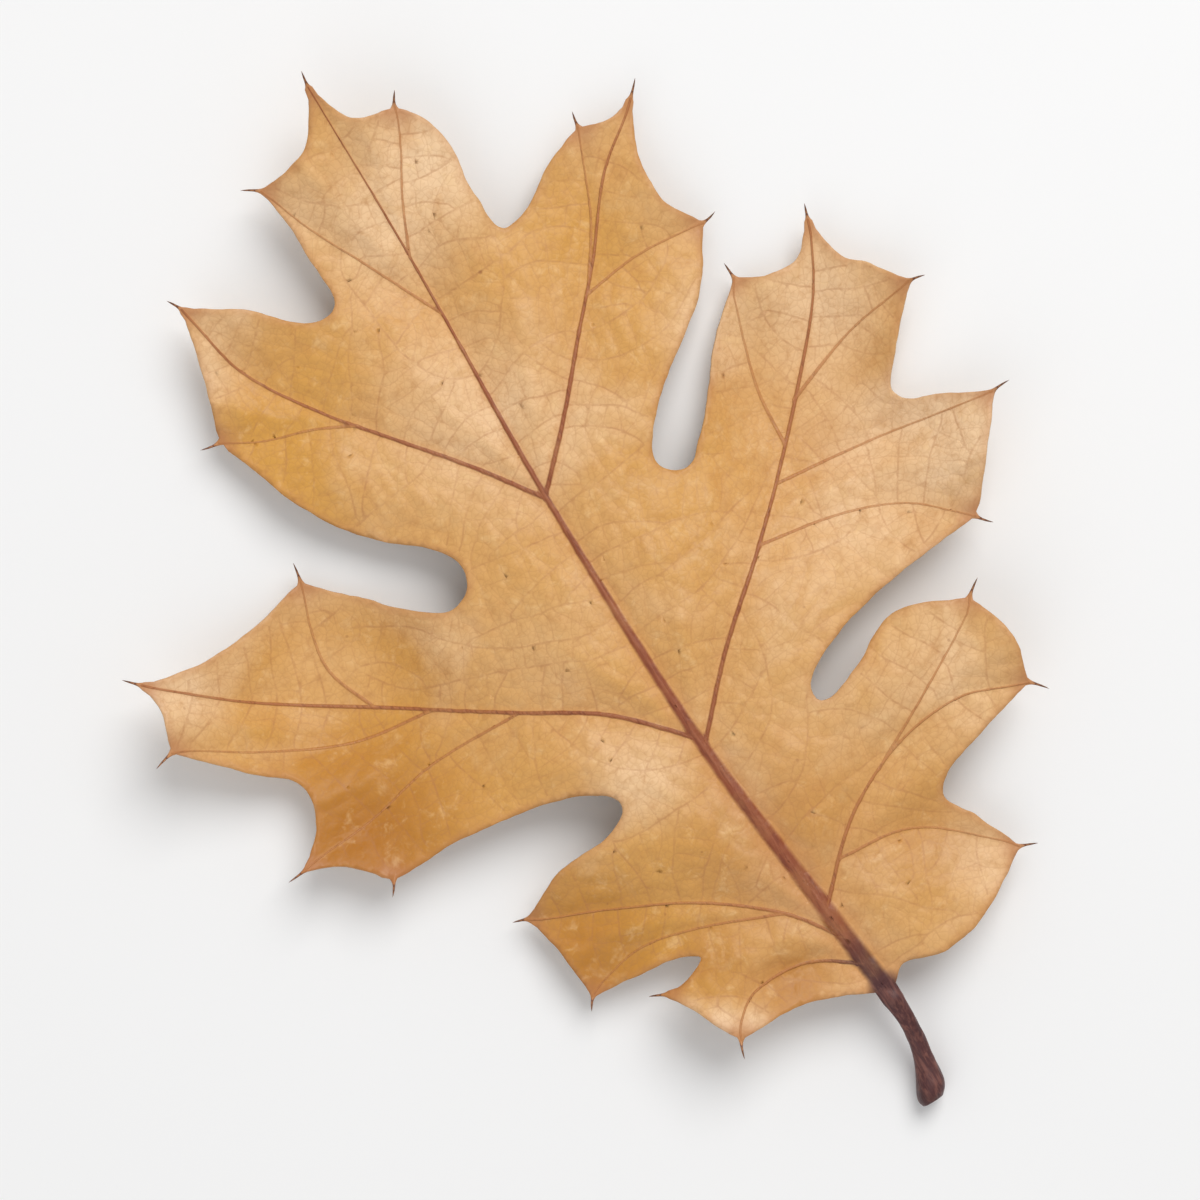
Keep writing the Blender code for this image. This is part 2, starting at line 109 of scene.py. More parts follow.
BASAL_LEFT_LOBE = (
    ((-22.6, 33.4), ((-21.6, 29.0),)),
    ((-21.2, 24.4), ((-15.5, 23.8), (-11.1, 22.6), (-13.0, 21.4))),
    ((-15.4, 21.2), ((-13.7, 18.2),)),
    ((-11.8, 14.3), ((-7.0, 14.3), (-3.0, 13.2))),
)
MARGIN_END = (0.7, 11.4)
LOBES = BASAL_RIGHT_LOBE + MIDDLE_RIGHT_LOBE + UPPER_RIGHT_LOBE + END_LOBE
LOBES += UPPER_LEFT_LOBE + MIDDLE_LEFT_LOBE + BASAL_LEFT_LOBE

# Every vein runs from where it leaves its parent to a tooth.
MIDRIB = ((1.7, 11.3), (0.7, 21.8), (-0.9, 39.5), (-1.1, 64.5), (-0.2, 90.0), (0.0, 105.5))
BASAL_VEINS = (
    ((1.5, 14.0), (-3.2, 17.0), (-8.6, 17.2), (-11.2, 15.4)),
    ((1.1, 16.9), (-2.5, 21.8), (-8.8, 26.8), (-15.9, 30.4), (-21.4, 32.7)),
    ((0.9, 20.2), (7.1, 26.0), (14.0, 29.4), (20.8, 30.2), (25.8, 28.5)),
)
LOBE_VEINS = (
    ((-1.0, 39.5), (-6.7, 45.4), (-13.4, 49.7), (-24.4, 57.0), (-33.2, 62.9), (-39.6, 68.4)),
    ((-1.1, 64.8), (-5.2, 70.6), (-10.0, 76.6), (-14.4, 82.1), (-18.6, 89.0), (-19.9, 95.0)),
    ((-1.0, 65.2), (4.5, 70.8), (9.2, 76.1), (13.8, 81.1), (18.8, 87.3), (23.2, 90.7)),
    (
        (-0.8, 38.4), (5.5, 44.9), (11.9, 50.3), (17.5, 55.4),
        (23.7, 61.7), (29.0, 67.8), (31.7, 72.6),
    ),
)
BRANCH_VEINS = (
    ((-2.5, 21.8), (-9.4, 24.6), (-15.0, 25.9), (-19.9, 25.0)),
    ((-13.4, 49.7), (-22.6, 49.8), (-29.9, 48.4), (-35.6, 48.0)),
    ((-20.0, 54.0), (-27.6, 55.2), (-35.0, 58.8), (-40.4, 62.4)),
    ((-24.4, 57.0), (-26.2, 62.0), (-25.6, 66.0), (-24.5, 69.0)),
    ((-12.2, 79.4), (-15.8, 81.2), (-20.0, 82.6), (-22.6, 84.0)),
    ((-0.4, 84.0), (-3.9, 91.4), (-6.6, 96.8), (-8.0, 100.6)),
    ((-0.2, 90.0), (2.0, 94.8), (4.2, 98.6), (5.3, 100.8)),
    ((11.5, 78.6), (17.0, 79.3), (22.8, 78.9)),
    ((12.4, 79.6), (15.6, 84.4), (18.3, 90.6)),
    ((12.9, 51.2), (20.8, 49.7), (26.4, 47.4), (30.0, 44.1)),
    ((17.2, 55.1), (26.5, 54.0), (36.6, 52.2)),
    ((22.7, 60.8), (30.2, 63.4), (35.8, 64.2)),
    ((19.8, 57.6), (20.4, 63.6), (22.9, 71.6)),
    ((4.2, 23.5), (11.3, 22.3), (17.7, 17.0)),
    ((11.5, 28.4), (18.8, 32.3), (25.6, 36.2)),
)

# How far each kind of vein spreads to its two sides, stands out below and above the blade, and
# how red it is: first at its root, then at its tip. The taper says how early it gets thin, and the
# rows where the mesh follows its flanks, from 0 on its crest to 1 at its foot.
MIDRIB_FORM = {
    "spread": (0.97, 0.07), "below": (0.95, 0.1), "above": (0.5, 0.03), "tone": (1.0, 0.62),
    "taper": 1.5, "rows": (0.5, 1.0),
}
LOBE_VEIN_FORM = {
    "spread": (0.28, 0.13), "below": (0.4, 0.08), "above": (0.14, 0.03), "tone": (0.72, 0.5),
    "taper": 1.1, "rows": (0.5, 1.0),
}
BASAL_VEIN_FORM = {
    "spread": (0.24, 0.1), "below": (0.36, 0.08), "above": (0.11, 0.03), "tone": (0.6, 0.3),
    "taper": 1.3, "rows": (0.5, 1.0),
}
BRANCH_FORM = {
    "spread": (0.18, 0.09), "below": (0.24, 0.06), "above": (0.07, 0.02), "tone": (0.45, 0.2),
    "taper": 1.5, "rows": (1.0,),
}
# A vein that ends this far from a tooth runs on into it.
VEIN_TO_TOOTH = (0.5, 4.0)

# The dried blade bulges between its veins, and waves and curls as a whole.
PANEL_BULGE = 0.9
PANEL_REACH = 6.0
ARCH_HEIGHT = 3.4
ARCH_MIDDLE = 42.0
ARCH_HALF_LENGTH = 46.0
ARCH_AT_SIDES = 0.35
SIDE_WAVE_LENGTH = 50.0
TIP_CURL = 6.0
TIP_CURL_FROM = 82.0
LOBE_CURL = 2.4
LOBE_CURL_FROM = 27.0
EDGE_WAVE = 1.3
EDGE_WAVE_LENGTH = 33.0
EDGE_WAVE_SHIFT = 0.8
# Where single lobes and teeth curl further up or down: place, reach and height.
CURLS = (
    ((-13.0, 13.5), 11.0, 2.6), ((-24.0, 30.0), 13.0, -0.8), ((28.0, 30.0), 18.0, 2.4),
    ((-43.0, 66.0), 19.0, 2.0), ((-37.0, 45.0), 13.0, -1.2), ((39.0, 50.0), 15.0, 1.8),
    ((35.0, 70.0), 12.0, -1.4), ((-22.0, 97.0), 15.0, 2.2), ((25.0, 88.0), 14.0, 0.8),
    ((-25.2, 60.4), 24.0, -2.4), ((23.7, 61.7), 24.0, -2.8),
)
LEAF_HALF_WIDTH = 40.0
LEAF_LENGTH = 107.3
BLADE_LIFT = 3.05

# It rests on the foot of the stalk and on a vein under each middle lobe.
REST_SPOTS = ((-25.2, 60.4), (23.7, 61.7))
SPOT_RADIUS = 1.4
SPOT_REACH = 10.0
SPOT_VEIN_DEPTH = 0.33
# How much lower the thin blade lies than the middle of the solid's thicker one.
THIN_BLADE_DROP = 0.34

# The finer forms of the blade.
CREASE_DEPTH = 0.3
CREASE_REACH = 1.3
PUCKER = 0.15
PUCKER_REACH = 0.8
THIN_MARGIN = 0.5
THIN_MARGIN_REACH = 0.9
NET_BELOW = 0.05
NET_SPREAD = 0.2
# Smooth random waves, each of a height, a length and a seed.
CRINKLES = ((0.6, 11.0, 3.1), (0.24, 4.6, 11.7), (0.07, 1.7, 23.9), (0.03, 0.9, 31.3))
MARGIN_RUFFLE = ((0.7, 7.5, 41.3),)
MARGIN_RUFFLE_REACH = 5.0
MARGIN_WEAR = ((0.16, 2.6, 5.3), (0.06, 0.9, 17.1))
MARGIN_WEAR_SHIFT = Vector((7.0, 0.0))

# How close together the points of the mesh are.
MARGIN_STEP = 0.38
VEIN_STEP = 0.9
CREST_SPLIT = 2
LINE_SPLIT = 4
GRID_STEP = 0.43
ROW_CLEAR = 0.05
LINE_BREAK = 1.0
GRID_CLEAR_OF_LINES = 0.21
WEB_CLEAR = 0.12
FILL_TOLERANCE = 0.004
BASE_POINTS = 17

# A bristle narrows from the tooth to its tip: distance out from the tooth and half of its width.
BRISTLE_ROOT = 0.85
BRISTLE_SHAPE = ((-0.14, 0.36), (0.0, 0.23), (0.14, 0.15), (0.34, 0.1), (0.6, 0.07), (0.85, 0.04))
BRISTLE_LENGTHS = (0.8, 1.15)
BRISTLE_BEND = 0.3
BRISTLE_LIFT = 0.5
BRISTLE_THINNING = 0.7
LEAST_REACH = 0.02
# How dark the tooth and its bristle are.
TOOTH_REACH = 3.2
TOOTH_TONE = 0.6
BRISTLE_DARKENING = 2.4

# The fine veins: how they start from their parent, wander and join, in shares of their spacing and
# in radians.
NET_STEP = 0.42
NET_JOIN = 0.55
NET_FIRST = (0.3, 0.9)
NET_NEXT = (0.8, 1.25)
NET_LAST = 0.3
NET_LEAN = -0.12
NET_WANDER = 0.085
NET_BEND = 0.022
# Each level's spacing, clear room, unevenness of its angles, greatest number of steps and tone.
NET_LEVELS = ((2.3, 1.05, 0.064, 60, 1.0), (1.6, 0.75, 0.12, 12, 0.5))
NET_CELL = 0.6
SEED = 5

# The stalk's sections, from the blade to the foot: distance from the blade and radius.
STALK_SECTIONS = (
    (0.0, 1.0), (1.2, 1.0), (2.6, 0.85), (4.2, 0.8), (5.8, 0.8), (7.2, 0.9), (8.2, 1.05),
    (9.2, 1.32), (9.9, 1.48), (10.3, 1.47), (10.6, 1.41), (10.85, 1.3), (11.05, 1.16), (11.2, 0.98),
)
STALK_BLUR = (-0.16, -0.08, 0.0, 0.08, 0.16)
STALK_LENGTH = 11.3
STALK_STEP = 0.2
STALK_CLEARANCE = 0.12
STALK_BEND = 0.8
STALK_ROUND_WITHIN = 2.4
STALK_LEVEL_AT = 0.9
STALK_FADE = 26.0
# The groove on its top: depth, and how it begins and ends along the stalk and across it.
GROOVE = 0.16
GROOVE_MIDDLE = 4.0
GROOVE_HALF_LENGTH = 3.2
GROOVE_FADE = 2.0
GROOVE_SIDE = 0.55
GROOVE_SLOPE = 0.45
# Its wrinkles, each of a height and a length, and how much they are drawn out along the stalk.
WRINKLES = ((0.09, 0.8), (0.05, 0.35))
WRINKLE_STRETCH = 3.0
JOINT_REACH = 3.0
RIM_TOLERANCE = 0.2
RIM_DEPTH_TOLERANCE = 0.5
# The end of the foot, from its rim to the middle of the scar: step in, step out and scar mark.
FOOT_END = ((0.08, 0.035, 0.0), (0.09, -0.1, 0.7), (0.24, 0.02, 1.0), (0.24, 0.05, 1.0))

# Where the blade is paler, browner or more golden: place, reach and strength.
# The pale patches are partly the blade's own paler tone and partly painted highlight, where lobes,
# the end lobe and curled edges face the light. With the brown ones, the blade is darker towards
# the base and paler towards the tip.
PALE_AND_HIGHLIGHT_PATCHES = (
    ((-7.0, 38.5), 6.5, 0.72), ((5.5, 96.0), 12.0, 1.0), ((0.0, 94.0), 11.0, 0.85),
    ((-6.0, 98.0), 8.0, 0.5), ((33.5, 51.0), 12.0, 0.95), ((29.0, 67.5), 11.0, 0.85),
    ((20.5, 70.5), 7.5, 0.75), ((19.0, 47.0), 8.0, 0.28), ((25.0, 58.0), 8.0, 0.12),
    ((15.0, 17.5), 6.0, 0.55), ((23.0, 32.5), 6.5, 0.3), ((-12.6, 16.4), 3.0, 1.0),
    ((-9.8, 15.0), 2.4, 0.9), ((-14.6, 18.8), 2.4, 0.9), ((-40.0, 67.5), 7.0, 0.72),
    ((-3.0, 74.0), 14.0, 0.5), ((-21.5, 91.0), 6.0, 0.55), ((-14.0, 95.0), 6.0, 0.3),
    ((-9.0, 54.0), 9.0, 0.25), ((22.0, 82.0), 8.0, 0.22),
)
DEEP_PATCHES = (
    ((-32.0, 47.0), 16.0, 1.0), ((0.0, 27.0), 15.0, 0.42), ((12.0, 21.0), 8.0, 0.36),
    ((-10.0, 22.0), 7.0, 0.45), ((-20.0, 28.0), 12.0, 0.7), ((-5.0, 16.0), 6.0, 0.75),
    ((22.5, 56.0), 6.0, 0.2),
)
GOLD_PATCHES = (
    ((-31.0, 56.0), 21.0, 1.0), ((-18.0, 27.0), 14.0, 0.9), ((-19.0, 82.0), 15.0, 0.7),
    ((16.0, 84.0), 12.0, 0.5), ((22.0, 33.0), 11.0, 0.4), ((8.0, 70.0), 10.0, 0.3),
)

# The floats that the material reads, one of each for every point of the leaf.
MARKS = (
    "vein_gap", "vein_tone", "net_gap", "net_tone", "panel", "edge_gap", "tooth",
    "under", "stalk", "scar", "pale", "deep", "gold",
)
FAR = 6.0

# The noises of the material: scale, detail, roughness and distortion.
NOISES = {
    "broad": (60.0, 3.0, 0.55, 0.5),
    "cloud": (230.0, 4.0, 0.6, 0.7),
    "mottle": (620.0, 3.0, 0.65, 0.4),
    "fine": (1500.0, 3.0, 0.6, 0.0),
    "grit": (4200.0, 2.0, 0.6, 0.0),
}
FIBRE = (3600.0, 3.0, 0.6, 0.2)
FIBRE_STRETCH = (1.0, 0.09, 1.0)
# The blade's mottling: its noise, where that begins and is full, the most it covers, its colour.
MOTTLING = (
    ("cloud", 0.52, 0.78, 0.36, (0.56, 0.25, 0.07)),
    ("cloud", 0.46, 0.25, 0.3, (0.86, 0.58, 0.28)),
    ("mottle", 0.52, 0.8, 0.4, (0.5, 0.22, 0.06)),
    ("mottle", 0.46, 0.22, 0.4, (0.9, 0.6, 0.29)),
    ("fine", 0.48, 0.78, 0.3, (0.46, 0.2, 0.06)),
)
# The finest net: the scale of its cells, and how far a noise bends them.
CELL_SCALE = 1500.0
WARP_SCALE = 900.0
WARP = 0.0005
# Large and small freckles: scale, rarity, size and strength.
FRECKLES = ((150.0, 0.84, 0.055, 0.55), (520.0, 0.78, 0.11, 0.3))
# The colours of the other layers, as red, green and blue.
FINEST_NET = (0.4, 0.18, 0.06)
FINE_VEIN = (0.42, 0.17, 0.065)
FRECKLE = (0.24, 0.065, 0.022)
EDGE = (0.5, 0.21, 0.08)
TOOTH = (0.46, 0.18, 0.08)
BRISTLE = (0.17, 0.06, 0.035)
VEIN_HALO = (0.62, 0.25, 0.075)
THIN_VEIN = (0.5, 0.2, 0.06)
# The lighter crest of the main veins is a painted highlight.
VEIN_CREST_HIGHLIGHT = (0.5, 0.19, 0.1)
VEIN_SHADE = (0.14, 0.032, 0.018)
UNDER_VEIN = (0.5, 0.29, 0.16)
UNDER_MIDRIB = (0.24, 0.11, 0.08)
UNDER_NET = (0.5, 0.31, 0.17)
BARK_FIBRE = (0.19, 0.075, 0.06)
BARK_SHADE = (0.055, 0.02, 0.02)
CORK = (0.14, 0.075, 0.045)
PALE_CORK = (0.33, 0.21, 0.13)
# Where the midrib turns into the bark of the stalk.
BARK_FROM = (0.982, 0.9995)

# The studio, in metres: each light's name, place, size and colour.
KEY_LIGHT = ("key_light", (0.46, 0.32, 0.7), 0.62, (1.0, 0.99, 0.975))
FILL_LIGHT = ("fill_light", (-0.5, -0.3, 0.6), 0.8, (1.0, 1.0, 1.0))
FLOOR_SIZE = 3.0
FLOOR_SHADE = 0.985
CAMERA_TURN = math.radians(-31.67)


def smooth_step(value):
    t = np.clip(value, 0.0, 1.0)
    return t * t * (3.0 - 2.0 * t)


def curve_through(points, step):
    """Points about a step apart on a smooth curve through the given ones, without the last."""
    knots = [Vector(p) for p in points]
    around = [knots[0], *knots, knots[-1]]
    tangents = [(after - before).normalized() for before, after in zip(around, around[2:])]
    chain = []
    for a, b, leaving, arriving in zip(knots, knots[1:], tangents, tangents[1:]):
        reach = (b - a).length / 3.0
        count = max(2, round((b - a).length / step))
        leaving, arriving = a + leaving * reach, b - arriving * reach
        run = geometry.interpolate_bezier(a, leaving, arriving, b, count + 1)
        chain.extend(Vector(p[:2]) for p in run[:-1])
    return chain


def uneven(place, waves):
    """A smooth random height at a place, from a few waves of (height, length, seed)."""
    x, y = place
    return sum(
        height * noise.noise(Vector((x / length, y / length, seed)))
        for height, length, seed in waves
    )


def to_chain(points, chain):
    """For each point, its distance to a chain and how far along the chain that is, from 0 to 1."""
    starts, spans = chain[:-1], np.diff(chain, axis=0)
    squares = np.maximum((spans**2).sum(axis=1), 1e-12)
    along = np.clip(((points[:, None] - starts) * spans).sum(axis=2) / squares, 0.0, 1.0)
    nearest = starts + along[..., None] * spans
    distances = np.linalg.norm(points[:, None] - nearest, axis=2)
    best = distances.argmin(axis=1)
    rows = np.arange(len(points))
    return distances[rows, best], (best + along[rows, best]) / len(spans)


def is_inside(points, loop):
    """Whether each point lies inside the closed loop."""
    starts = np.roll(loop, 1, axis=0)
    x, y = points[:, :1], points[:, 1:]
    crosses = (starts[:, 1] > y) != (loop[:, 1] > y)
    rises = np.where(loop[:, 1] == starts[:, 1], 1.0, loop[:, 1] - starts[:, 1])
    meets = starts[:, 0] + (y - starts[:, 1]) * (loop[:, 0] - starts[:, 0]) / rises
    return (crosses & (x < meets)).sum(axis=1) % 2 == 1


def gap_to_place(points, place):
    return np.linalg.norm(points - np.array(place), axis=1)


def patches(points, places):
    """How strongly each point belongs to a set of soft round patches."""
    strength = np.zeros(len(points))
    for place, reach, amount in places:
        share = smooth_step(1.0 - gap_to_place(points, place) / reach)
        strength = np.maximum(strength, amount * share)
    return strength


class Margin:
    """The closed outline of the blade, with a bristle at each tooth."""

    def __init__(self, bristle_length):
        self.bristle_length = bristle_length
        self.draw = random.Random(SEED)
        self.loop = []
        self.reach = []
        self.teeth = [Vector(corner) for corner, _ in LOBES]
        start, end = Vector(MARGIN_START[0]), Vector(MARGIN_END)
        for (corner, passed), following in zip((MARGIN_START, *LOBES), (*self.teeth, end)):
            run = curve_through((corner, *passed, following), MARGIN_STEP)
            if self.loop:
                self.add_tooth(run)
            else:
                self.extend(run)
        self.extend([end.lerp(start, i / (BASE_POINTS - 1)) for i in range(BASE_POINTS - 1)])
        self.wear()

    def extend(self, points, reaches=None):
        """Adds points, and how far along its bristle each one is: 0 where it is on none."""
        self.loop.extend(points)
        self.reach.extend(reaches or [0.0] * len(points))

    def add_tooth(self, run):
        tooth = run[0]
        while (self.loop[-1] - tooth).length < BRISTLE_ROOT:
            self.loop.pop()
            self.reach.pop()
        ahead = [p for p in run if (p - tooth).length >= BRISTLE_ROOT]
        back = (self.loop[-1] - tooth).normalized()
        front = (ahead[0] - tooth).normalized()
        outwards = -(back + front).normalized()
        sideways = Vector((-outwards.y, outwards.x))
        if sideways.dot(back) < 0.0:
            sideways.negate()
        bend = self.draw.uniform(-BRISTLE_BEND, BRISTLE_BEND)
        length = self.bristle_length * self.draw.uniform(*BRISTLE_LENGTHS)
        rising, falling = [], []
        for share, half_width in BRISTLE_SHAPE:
            middle = tooth + outwards * share * length + sideways * bend * share**2
            rising.append(middle + sideways * half_width)
            falling.append(middle - sideways * half_width)
        tip = tooth + outwards * length + sideways * bend
        shares = [max(share, LEAST_REACH) for share, _ in BRISTLE_SHAPE]
        self.extend([*rising, tip, *reversed(falling)], [*shares, 1.0, *reversed(shares)])
        self.extend(ahead)

    def wear(self):
        """Moves the points of the margin a little, but not the bristles or the stalk's joint."""
        joint = Vector(MIDRIB[0])
        for i, point in enumerate(self.loop):
            if self.reach[i] == 0.0 and (point - joint).length >= JOINT_REACH:
                across = uneven(point, MARGIN_WEAR)
                along = uneven(point.yx + MARGIN_WEAR_SHIFT, MARGIN_WEAR)
                self.loop[i] = point + Vector((across, along))


class Vein:
    """A vein's line, with its form from root to tip, which runs on into a tooth if one is near."""

    def __init__(self, points, form):
        teeth = (corner for corner, _ in LOBES)
        tooth = min(teeth, key=lambda corner: math.dist(corner, points[-1]))
        nearest, furthest = VEIN_TO_TOOTH
        if nearest < math.dist(tooth, points[-1]) < furthest:
            points = (*points, tooth)
        self.chain = np.array([*curve_through(points, VEIN_STEP), points[-1]])
        self.form = form

    def value(self, key, along):
        root, tip = self.form[key]
        return tip + (root - tip) * (1.0 - along) ** self.form["taper"]

    def crest(self):
        """The points of the crest line: those of the chain and the ones between them."""
        steps = len(self.chain) - 1
        along = np.linspace(0.0, steps, steps * CREST_SPLIT + 1)
        columns = [np.interp(along, np.arange(steps + 1), self.chain[:, i]) for i in (0, 1)]
        return np.column_stack(columns)

    def rows(self):
        """Lines of points along the ridge, on both of its flanks."""
        crest = self.crest()
        directions = np.gradient(crest, axis=0)
        directions /= np.linalg.norm(directions, axis=1)[:, None]
        sideways = np.column_stack([-directions[:, 1], directions[:, 0]])
        spread = self.value("spread", np.linspace(0.0, 1.0, len(crest)))[:, None]
        shares = [sign * share for share in self.form["rows"] for sign in (1.0, -1.0)]
        return [crest + share * spread * sideways for share in shares]


def all_veins():
    kinds = (
        ((MIDRIB,), MIDRIB_FORM),
        (LOBE_VEINS, LOBE_VEIN_FORM),
        (BASAL_VEINS, BASAL_VEIN_FORM),
        (BRANCH_VEINS, BRANCH_FORM),
    )
    return [Vein(points, form) for lines, form in kinds for points in lines]


class VeinNet:
    """All the points of the veins, and the fine veins that are grown between the larger ones."""

    MARGIN = -1

    def __init__(self, loop, veins):
        self.draw = random.Random(SEED)
        self.places = []
        self.owners = []
        self.cells = {}
        for point in loop:
            self.add(tuple(point), self.MARGIN)
        self.paths = [
            [self.add(tuple(p), number) for p in vein.crest()] for number, vein in enumerate(veins)
        ]
        self.main_count = len(veins)
        self.tones = [1.0] * self.main_count

    def cell(self, place):
        return (int(place[0] // NET_CELL), int(place[1] // NET_CELL))

    def add(self, place, owner):
        index = len(self.places)
        self.places.append(place)
        self.owners.append(owner)
        self.cells.setdefault(self.cell(place), []).append(index)
        return index

    def nearest(self, place, reach, skipped):
        """The index of the nearest point within reach that belongs to no skipped path."""
        column, row = self.cell(place)
        cells = math.ceil(reach / NET_CELL)
        best, least = None, reach
        for i in range(column - cells, column + cells + 1):
            for j in range(row - cells, row + cells + 1):
                for index in self.cells.get((i, j), ()):
                    if self.owners[index] in skipped:
                        continue
                    gap = math.dist(self.places[index], place)
                    if gap < least:
                        best, least = index, gap
        return best

    def grow_level(self, parents, spacing, *form):
        """Fine veins from both sides of the parents, wherever there is room for them."""
        for parent in parents:
            path = self.paths[parent]
            length = NET_STEP * len(path)
            for side in (1.0, -1.0):
                position = spacing * self.draw.uniform(*NET_FIRST)
                while position < length - NET_LAST * spacing:
                    start = min(len(path) - 2, max(1, round(position / NET_STEP)))
                    self.grow_one(parent, start, side, *form)
                    position += spacing * self.draw.uniform(*NET_NEXT)

    def grow_one(self, parent, start, side, clear, tilt, limit, tone):
        path = self.paths[parent]
        before, place, after = (self.places[path[start + i]] for i in (-1, 0, 1))
        heading = math.atan2(after[1] - before[1], after[0] - before[0])
        heading += side * (math.pi / 2 + self.draw.gauss(NET_LEAN, tilt))
        if self.nearest(self.onwards(place, heading, clear), clear, (parent,)) is not None:
            return
        number = len(self.paths)
        grown = [path[start]]
        bend = self.draw.gauss(0.0, NET_BEND)
        for _ in range(limit):
            heading += bend + self.draw.gauss(0.0, NET_WANDER)
            place = self.onwards(place, heading, NET_STEP)
            met = self.nearest(place, NET_JOIN, (parent, number))
            if met is not None:
                if self.owners[met] != self.MARGIN:
                    grown.append(met)
                break
            grown.append(self.add(place, number))
        if len(grown) > 1:
            self.paths.append(grown)
            self.tones.append(tone)

    def onwards(self, place, heading, step):
        return (place[0] + step * math.cos(heading), place[1] + step * math.sin(heading))

    def grow(self):
        parents = range(self.main_count)
        for level in NET_LEVELS:
            first = len(self.paths)
            self.grow_level(parents, *level)
            parents = range(first, len(self.paths))

    def lines(self, veins):
        """Every vein as places, cut off where it runs in the ridge of a larger vein."""
        shares = ridge_shares(np.array(self.places), veins)
        cut = [outside_ridges(vein.crest(), veins[:number]) for number, vein in enumerate(veins)]
        for path in self.paths[self.main_count :]:
            line = [self.places[path[0]]] if shares[path[0]] >= 1.0 else []
            for a, b in zip(path, path[1:]):
                if (shares[a] < 1.0) != (shares[b] < 1.0):
                    part = (1.0 - shares[a]) / (shares[b] - shares[a])
                    line.append(between(self.places[a], self.places[b], part))
                if shares[b] >= 1.0:
                    line.append(self.places[b])
            cut.append(line)
        return cut


def between(a, b, share):
    return (a[0] + (b[0] - a[0]) * share, a[1] + (b[1] - a[1]) * share)


def ridge_shares(points, veins):
    """How far out on the nearest ridge each point is: 0 on its crest and 1 at its foot."""
    shares = np.full(len(points), FAR)
    for vein in veins:
        distance, along = to_chain(points, vein.chain)
        shares = np.minimum(shares, distance / vein.value("spread", along))
    return shares


def outside_ridges(row, veins):
    return [tuple(p) for p, share in zip(row, ridge_shares(row, veins)) if share > 1.0]


def grid_points(loop):
    """A triangular grid of points over the whole leaf."""
    low, high = loop.min(axis=0), loop.max(axis=0)
    row_step = GRID_STEP * math.sqrt(0.75)
    rows = []
    for row in range(int((high[1] - low[1]) / row_step)):
        across = np.arange(low[0], high[0], GRID_STEP) + GRID_STEP / 2 * (row % 2)
        rows.append(np.column_stack([across, np.full(len(across), low[1] + row * row_step)]))
    points = np.concatenate(rows)
    return points[is_inside(points, loop)]


def tree_of(points):
    tree = kdtree.KDTree(len(points))
    for i, (x, y) in enumerate(points):
        tree.insert((x, y, 0.0), i)
    tree.balance()
    return tree


def clear_of(points, tree, gap):
    """The points that are further than the gap from all the points of the tree."""
    kept = [p for p in points if tree.find((p[0], p[1], 0.0))[2] > gap]
    return np.array(kept).reshape(-1, 2)


class FlatBlade:
    """The outline filled with fine triangles that follow every vein."""

    def __init__(self, margin, veins):
        self.net = VeinNet(margin.loop, veins)
        self.net.grow()
        loop = np.array(margin.loop)
        self.rim = list(range(len(loop)))
        self.places = [tuple(p) for p in loop]
        self.numbers = {}
        self.edges = []
        for line in self.net.lines(veins):
            self.add_line(line)
        lines = tree_of(self.places)
        for number, vein in enumerate(veins):
            for row in vein.rows():
                row = outside_ridges(row[is_inside(row, loop)], veins[:number])
                self.add_line([tuple(p) for p in clear_of(row, lines, ROW_CLEAR)])
        line_count = len(self.places)
        grid = clear_of(grid_points(loop), tree_of(self.places), GRID_CLEAR_OF_LINES)
        self.places.extend(tuple(p) for p in grid)
        self.places.extend(self.web_middles(line_count))
        points, self.triangles, sources = self.fill()
        self.points = np.array(points)
        self.bristle = np.array([
            max((margin.reach[i] for i in numbers if i < len(loop)), default=0.0)
            for numbers in sources
        ])

    def fill(self):
        """The points and triangles inside the rim, and the numbers of the places at each point."""
        places = [Vector(p) for p in self.places]
        filled = geometry.delaunay_2d_cdt(places, self.edges, [self.rim], 1, FILL_TOLERANCE)
        return filled[0], filled[2], filled[3]

    def web_middles(self, line_count):
        """The middles of the larger triangles whose corners all lie on lines."""
        points, triangles, sources = self.fill()
        on_line = np.array([min(numbers, default=0) < line_count for numbers in sources])
        triangles = np.array(triangles)
        triangles = triangles[on_line[triangles].all(axis=1)]
        middles = np.array(points)[triangles].mean(axis=1)
        return [tuple(p) for p in clear_of(middles, tree_of(self.places), WEB_CLEAR)]

    def add_line(self, line):
        """Adds the places of a line, and an edge between neighbours that are close together."""
        previous = None
        for place in line:
            index = self.numbers.setdefault(place, len(self.places))
            if index == len(self.places):
                self.places.append(place)
            if previous is not None and math.dist(self.places[previous], place) < LINE_BREAK:
                self.edges.append((previous, index))
            previous = index


def midrib_height(y):
    """The arch of the midrib, which curls up again towards the tip."""
    along = np.clip((y - ARCH_MIDDLE) / ARCH_HALF_LENGTH, -1.0, 1.0)
    arch = ARCH_HEIGHT * np.cos(math.pi / 2 * along)
    curl = np.maximum(y - TIP_CURL_FROM, 0.0) / (LEAF_LENGTH - TIP_CURL_FROM)
    return arch + TIP_CURL * curl**2


def wave_height(x, y):
    """The waves and curls of the whole blade, without its veins."""
    side = np.abs(x)
    across = (1.0 + np.cos(math.tau * x / SIDE_WAVE_LENGTH)) / 2.0
    height = midrib_height(y) * (ARCH_AT_SIDES + (1.0 - ARCH_AT_SIDES) * across)
    past = np.maximum(side - LOBE_CURL_FROM, 0.0) / (LEAF_HALF_WIDTH - LOBE_CURL_FROM)
    height = height + LOBE_CURL * past**2
    wave = np.sin(math.tau * y / EDGE_WAVE_LENGTH + np.sign(x) * EDGE_WAVE_SHIFT)
    height = height + EDGE_WAVE * (side / LEAF_HALF_WIDTH) ** 1.5 * wave
    for (curl_x, curl_y), reach, rise in CURLS:
        height = height + rise * smooth_step(1.0 - np.hypot(x - curl_x, y - curl_y) / reach)
    return height


